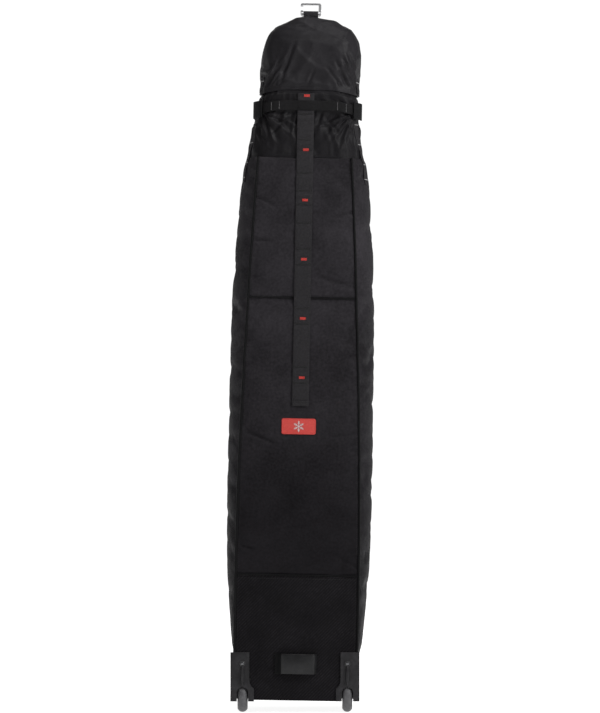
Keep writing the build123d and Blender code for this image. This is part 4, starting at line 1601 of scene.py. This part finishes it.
def makeLid():
    # One closed cushion: lining inside, cloth outside, crowned between its seams
    rings = [lidOutline(lidLook["margin"] + inset) for inset in (0, 3, 9, 20, 40, 70, 100)]
    points, faces = [], []
    count = len(rings[0])
    def depthAt(level, x, h, outer):
        plump = 1 - math.exp(-level * 0.9)
        quilt = 1.0 * math.exp(-((abs((h / 217) % 1 - 0.5) * 2 - 1) * 12) ** 2)
        if outer:
            puff = lidLook["crown"] * plump + 1.2 * noise.noise(Vector((x / 70, h / 90, 3))) * min(1, level)
            return lidLook["edge"] + min(puff, 4.4) - 1.5 * quilt * plump
        return lidLook["back"] + 1.6 * (1 - plump) + 0.6 * quilt
    order = [(True, k) for k in range(len(rings) - 1, -1, -1)] + [(False, k) for k in range(len(rings))]
    for outer, k in order:
        for p in rings[k]:
            points.append(place(p.x, depthAt(k, p.x, p.y, outer), p.y)[:])
    for row in range(len(order) - 1):
        for i in range(count):
            j = (i + 1) % count
            faces.append([row * count + i, row * count + j, (row + 1) * count + j, (row + 1) * count + i])
    pad = meshPiece("lidPad", points, faces)
    closeEnds(pad)
    smooth(pad, 60)
    nodes = ["lid_panel", "lid_foam", "lid_lining"]
    finishPiece(pad, "lidPad", "lid", [bodyCloth, liningCloth], nodes)
    for face in pad.data.polygons:
        if bagCoords(face.center)[1] < lidLook["back"] + 2:
            face.material_index = 1
    seams = []
    for inset in (2.4, 6.0):
        ring = lidOutline(lidLook["margin"] + inset, 300)
        path = [place(p.x, lidLook["edge"] + (1.15 if inset < 3 else 2.2), p.y) for p in ring + ring[:1]]
        seams += rowOfStitches(path, behind, 4.4, 3.0, 0.8)
    sewStitches("lidStitches", seams, "lid", blackThread)


def makeRim():
    # The bound edge of the bag, all the way round
    profile = [(0.3, 92), (0.2, 98.2), (1.6, 100.4), (4.6, 100.4),
               (5.8, 98.4), (5.8, 91.5), (4, 90.2), (1.6, 90.2)]
    rings = [lidOutline(margin, 300) for margin, depth in profile]
    points, faces = [], []
    count = len(rings[0])
    for ring, (margin, depth) in zip(rings, profile):
        points += [place(p.x, depth, p.y)[:] for p in ring]
    for row in range(len(profile)):
        after = (row + 1) % len(profile)
        for i in range(count):
            j = (i + 1) % count
            faces.append([row * count + i, row * count + j, after * count + j, after * count + i])
    rim = meshPiece("lidRim", points, faces)
    turnOutwards(rim)
    subdivide(rim)
    smooth(rim, 60)
    finishPiece(rim, "lidRim", "bag", pipingCloth, ["lid_rim"])


makeLid()
makeRim()


def makeHinge():
    # Cloth that joins the lid to the bag's left edge
    hingeTop = 950
    def shape(u, v):
        h = 14 + v * (hingeTop - 14)
        x = -146 + u * 20
        depth = 99.6 + 1.6 * math.sin(math.pi * u)
        return place(x, depth, h)
    hinge = gridSheet("lidHinge", 90, 10, shape)
    pointOutwards(hinge, behind)
    thicken(hinge, 1.0, offset=0)
    smooth(hinge, 50)
    between = ("bag", "lid", tuple(place(-141.5, 101, 600)), tuple(place(-136.5, 101, 600)))
    finishPiece(hinge, "lidHinge", between, bodyCloth)


makeHinge()
zipLook = {"bagMargin": 6.3, "lidMargin": 11.6, "width": 4.9, "y": 99.3, "pitch": 2.9}


def zipPath(margin):
    # The zip runs from the hinge's foot round the open sides to the hinge's head
    ring = lidOutline(margin, 420)
    start = min(range(len(ring)), key=lambda i: (ring[i] - Vector((-140, 4))).length)
    ring = ring[start:] + ring[:start]
    return [p for p in ring if p.x > -128 or p.y > 958 or p.y < 12]


def makeZip():
    for word in ("bag", "lid"):
        name, body, node = "zipTape" + word.capitalize(), word, "zip_tape_" + word
        margin = zipLook[word + "Margin"]
        path = zipPath(margin + zipLook["width"] / 2)
        points = [place(p.x, zipLook["y"], p.y) for p in path]
        across = []
        for i in range(len(points)):
            along = (points[min(i + 1, len(points) - 1)] - points[max(i - 1, 0)]).normalized()
            across.append(along.cross(behind).normalized())
        tape = strap(name, points, across, zipLook["width"], 1.2, 0.3, 2)
        finishPiece(tape, name, body, zipCloth, [node])
        teeth = []
        side = 1 if body == "bag" else -1
        path = zipPath(11.45 - side * 0.9)
        line = [place(p.x, zipLook["y"] + 0.8, p.y) for p in path]
        for middle, along, outwards, length, width in rowOfStitches(line, behind, zipLook["pitch"], 2.2, 1.3):
            shifted = middle + along.normalized() * ((0.7 if side > 0 else -0.7) * mm)
            teeth.append((shifted, behind.cross(along), behind, 2.6, 1.2))
        sewStitches(name.replace("Tape", "Teeth"), teeth, body, zipMetal)
    for name in ("lower", "upper"):
        word = name.capitalize()
        refine("zip_slider_" + name, "zipSlider" + word, "slider_" + name, zipMetal, 0.7)
        refine("zip_pull_" + name, "zipPull" + word, "pull_" + name, zipMetal, 0.5)


makeZip()
print("lid made")

# Base, feet, housings and wheels

refine("base_panel", "floorPanel", "bag", bootCloth, 1.0)
refine("base_board", "floorBoard", "bag", sheetPlastic, 1.0)
for side in ("left", "right"):
    word = side.capitalize()
    node = "wheel_housing_" + side
    refine(node, "wheelHousing" + word, "bag", housingPlastic, 4.2, 40, 5)


housingLook = {"rib": (0.0105, 0.0150, 0.052), "ribLift": 0.052, "ringRadius": 0.0058, "ringWire": 0.0012}


def makeHousingDetail(word, wheel):
    # A spindle-shaped rib below a sunk screw
    low = boxOf("wheel_housing_" + word.lower())[0]
    deselect()
    spot = (wheel.x, low.y + 0.0006, wheel.z + housingLook["ribLift"])
    bpy.ops.mesh.primitive_uv_sphere_add(segments=32, ring_count=24, radius=0.5, location=spot)
    rib = bpy.context.active_object
    rib.scale = housingLook["rib"]
    settle(rib)
    smooth(rib, 60)
    finishPiece(rib, "housingRib" + word, "bag", housingPlastic)
    # a dark ring round the screw stands in for the shade of its recess: painted shade
    screw = middleOf("housing_screws")
    deselect()
    bpy.ops.mesh.primitive_torus_add(
        major_segments=40, minor_segments=10, major_radius=housingLook["ringRadius"],
        minor_radius=housingLook["ringWire"], location=(wheel.x, low.y + 0.0002, screw.z),
        rotation=(math.radians(90), 0, 0))
    ring = bpy.context.active_object
    settle(ring)
    smooth(ring, 60)
    finishPiece(ring, "screwShadeRing" + word, "bag", bucklePlastic)


makeHousingDetail("Left", wheelLeft)
makeHousingDetail("Right", wheelRight)
refine("foot_left", "footLeft", "bag", housingPlastic, 1.6)
refine("foot_right", "footRight", "bag", housingPlastic, 1.6)
refine("housing_screws", "housingScrews", "bag", steelMetal, 0.5)
refine("axle_left", "axleLeft", "bag", steelMetal, 0.4)
refine("axle_right", "axleRight", "bag", steelMetal, 0.4)

wheelLook = {"radius": 38, "half": 12, "inner": 17.2}


def spun(name, profile, centre, steps=72):
    # Turns a closed profile of (x, radius) points about the wheel's axle
    mesh = bpy.data.meshes.new(name)
    points = [(centre.x + x * mm, centre.y, centre.z + r * mm) for x, r in profile]
    mesh.from_pydata(points, [(i, (i + 1) % len(points)) for i in range(len(points))], [])
    wheel = bpy.data.objects.new(name, mesh)
    bpy.context.scene.collection.objects.link(wheel)
    only(wheel)
    bpy.ops.object.mode_set(mode="EDIT")
    bpy.ops.mesh.select_all(action="SELECT")
    bpy.ops.mesh.spin(steps=steps, angle=2 * math.pi, center=centre[:], axis=(1, 0, 0))
    bpy.ops.mesh.select_all(action="SELECT")
    bpy.ops.mesh.remove_doubles(threshold=0.00002)
    bpy.ops.mesh.normals_make_consistent(inside=False)
    bpy.ops.object.mode_set(mode="OBJECT")
    smooth(wheel, 40)
    return wheel


def makeWheel(side, centre):
    word = side.capitalize()
    body = "wheel_" + side
    half, radius, inner = wheelLook["half"], wheelLook["radius"], wheelLook["inner"]
    tread = []
    for i in range(17):
        turn = math.pi * i / 16
        x = -math.cos(turn) * half
        flat = abs(math.cos(turn)) ** 2.6
        tread.append((x, radius - 7.5 * flat))
    wall = [(-half + 1.4, inner), (-half + 0.6, inner + 3), (-half, inner + 8)]
    profile = wall + tread + [(-x, r) for x, r in reversed(wall)]
    tyre = spun("tyre" + word, profile, centre)
    finishPiece(tyre, "tyre" + word, body, wheelRubber, ["tyre_" + side])
    refine("wheel_core_" + side, "wheelCore" + word, body, corePlastic, 0.6)
    refine("wheel_bearings_" + side, "wheelBearings" + word, body, steelMetal, 0.3)


makeWheel("left", wheelLeft)
makeWheel("right", wheelRight)
print("wheels made")

# Hook

refine("hook", "hook", "hook", hookMetal, 1.3, 30, 3)


def makeHookWebbing():
    # A loop of webbing from the crown up round the hook's lower bar
    low, high = boxOf("hook_webbing")
    middle = (low + high) / 2
    _, depth, top = bagCoords((middle.x, middle.y, high.z))
    x = bagCoords(middle)[0]
    front, back = bagCoords(low)[1], bagCoords(high)[1]
    foot = bagCoords(low)[2]
    half = (back - front) / 2
    path = [
        (front + 1.2, foot + 1), (front + 1.2, top - half * 1.4), (front + 1.6, top - half * 0.7),
        (depth - half * 0.35, top - 1.4), (depth, top - 1.0), (depth + half * 0.35, top - 1.4),
        (back - 1.6, top - half * 0.7), (back - 1.2, top - half * 1.4), (back - 1.2, foot + 1),
    ]
    loop = strap("hookWebbing", smoothPath([place(x, y, h) for y, h in path], 5), bagAcross, 36, 2.0)
    finishPiece(loop, "hookWebbing", "hood", strapCloth, ["hook_webbing"])
    bars = []
    for h in (foot + 3, foot + 6.5):
        bars += bartack(place(x, front - 0.2, h), bagAcross, out, 30, 2.4, 1.6)
    sewStitches("hookWebbingBars", bars, "hood", blackThread)


makeHookWebbing()
print("hook made")

# Board straps inside


def makeBoardStraps():
    for word, h in (("lower", 360), ("upper", 940)):
        name, node = "boardStrap" + word.capitalize(), "board_strap_" + word
        halves = []
        for side in (-1, 1):
            path = []
            for x in np.linspace(17, 151, 40):
                path.append(place(side * x, 45 + 3.0 * math.sin((x - 20) / 130 * math.pi), h))
            halves.append(strap(name + "Part", path, bagUp, 37, 2.0))
        deselect()
        for half in halves:
            half.select_set(True)
        bpy.context.view_layer.objects.active = halves[0]
        bpy.ops.object.join()
        finishPiece(halves[0], name, "bag", strapCloth, [node])
    refine("board_strap_buckles", "boardStrapBuckles", "bag", bucklePlastic, 1.0)


makeBoardStraps()

# Seams and stitching on the bag


def makeSeams():
    # thin turned edges lie in the two cross seams; their darker cloth adds painted shade to the seam lines
    for name, h in (("bootSeam", bagShape["bootTop"]), ("faceSeam", bagShape["seam"])):
        half = halfWidth("face", h) - 3
        path = [place(x, faceDepth(h), h) for x in np.linspace(-half, half, 70)]
        edge = strap(name, lay(frontSkin, path, bagUp, out, -0.2, 4, 4), bagUp, 3.0, 1.2, 0.4, 3)
        finishPiece(edge, name, "bag", pipingCloth)
    stitches = []
    for h in (bagShape["bootTop"] - 3, bagShape["bootTop"] - 9, bagShape["seam"] + 4, bagShape["top"] - 4):
        half = halfWidth("face", h) - 6
        path = [onto(frontSkin, place(x, faceDepth(h), h), out, 0.15) for x in np.linspace(-half, half, 60)]
        stitches += rowOfStitches(path, out, 4.4, 3.2, 0.9)
    for side in (-1, 1):
        path = []
        for h in np.linspace(12, bagShape["top"] - 6, 120):
            spot = place(side * (halfWidth("face", h) - 6.5), bagShape["faceY"], h)
            path.append(onto(frontSkin, spot, out, 0.15))
        stitches += rowOfStitches(path, out, 4.4, 3.2, 0.8)
    sewStitches("faceStitches", stitches, "bag", blackThread)
    hem = []
    hoodSkin = surfaceOf("hood")
    h = topEdge["hem"] + hoodLook["hem"]
    ring = [outlinePoint(sectionAt(hoodSections, h), i / 200, hoodLook["round"]) for i in range(201)]
    middle = Vector((8, 0))
    for a, b in zip(ring, ring[1:]):
        away = (a - middle).normalized()
        outwards = bagAcross * away.x + behind * away.y
        ends = [onto(hoodSkin, place(p.x, p.y, h - 0.8 * hemDroop(p.x)), outwards, 0.15) for p in (a, b)]
        hem += rowOfStitches(ends, outwards, 4.2, 3.0, 0.9)
    sewStitches("hemStitches", hem, "hood", blackThread)


makeSeams()
print("seams made")
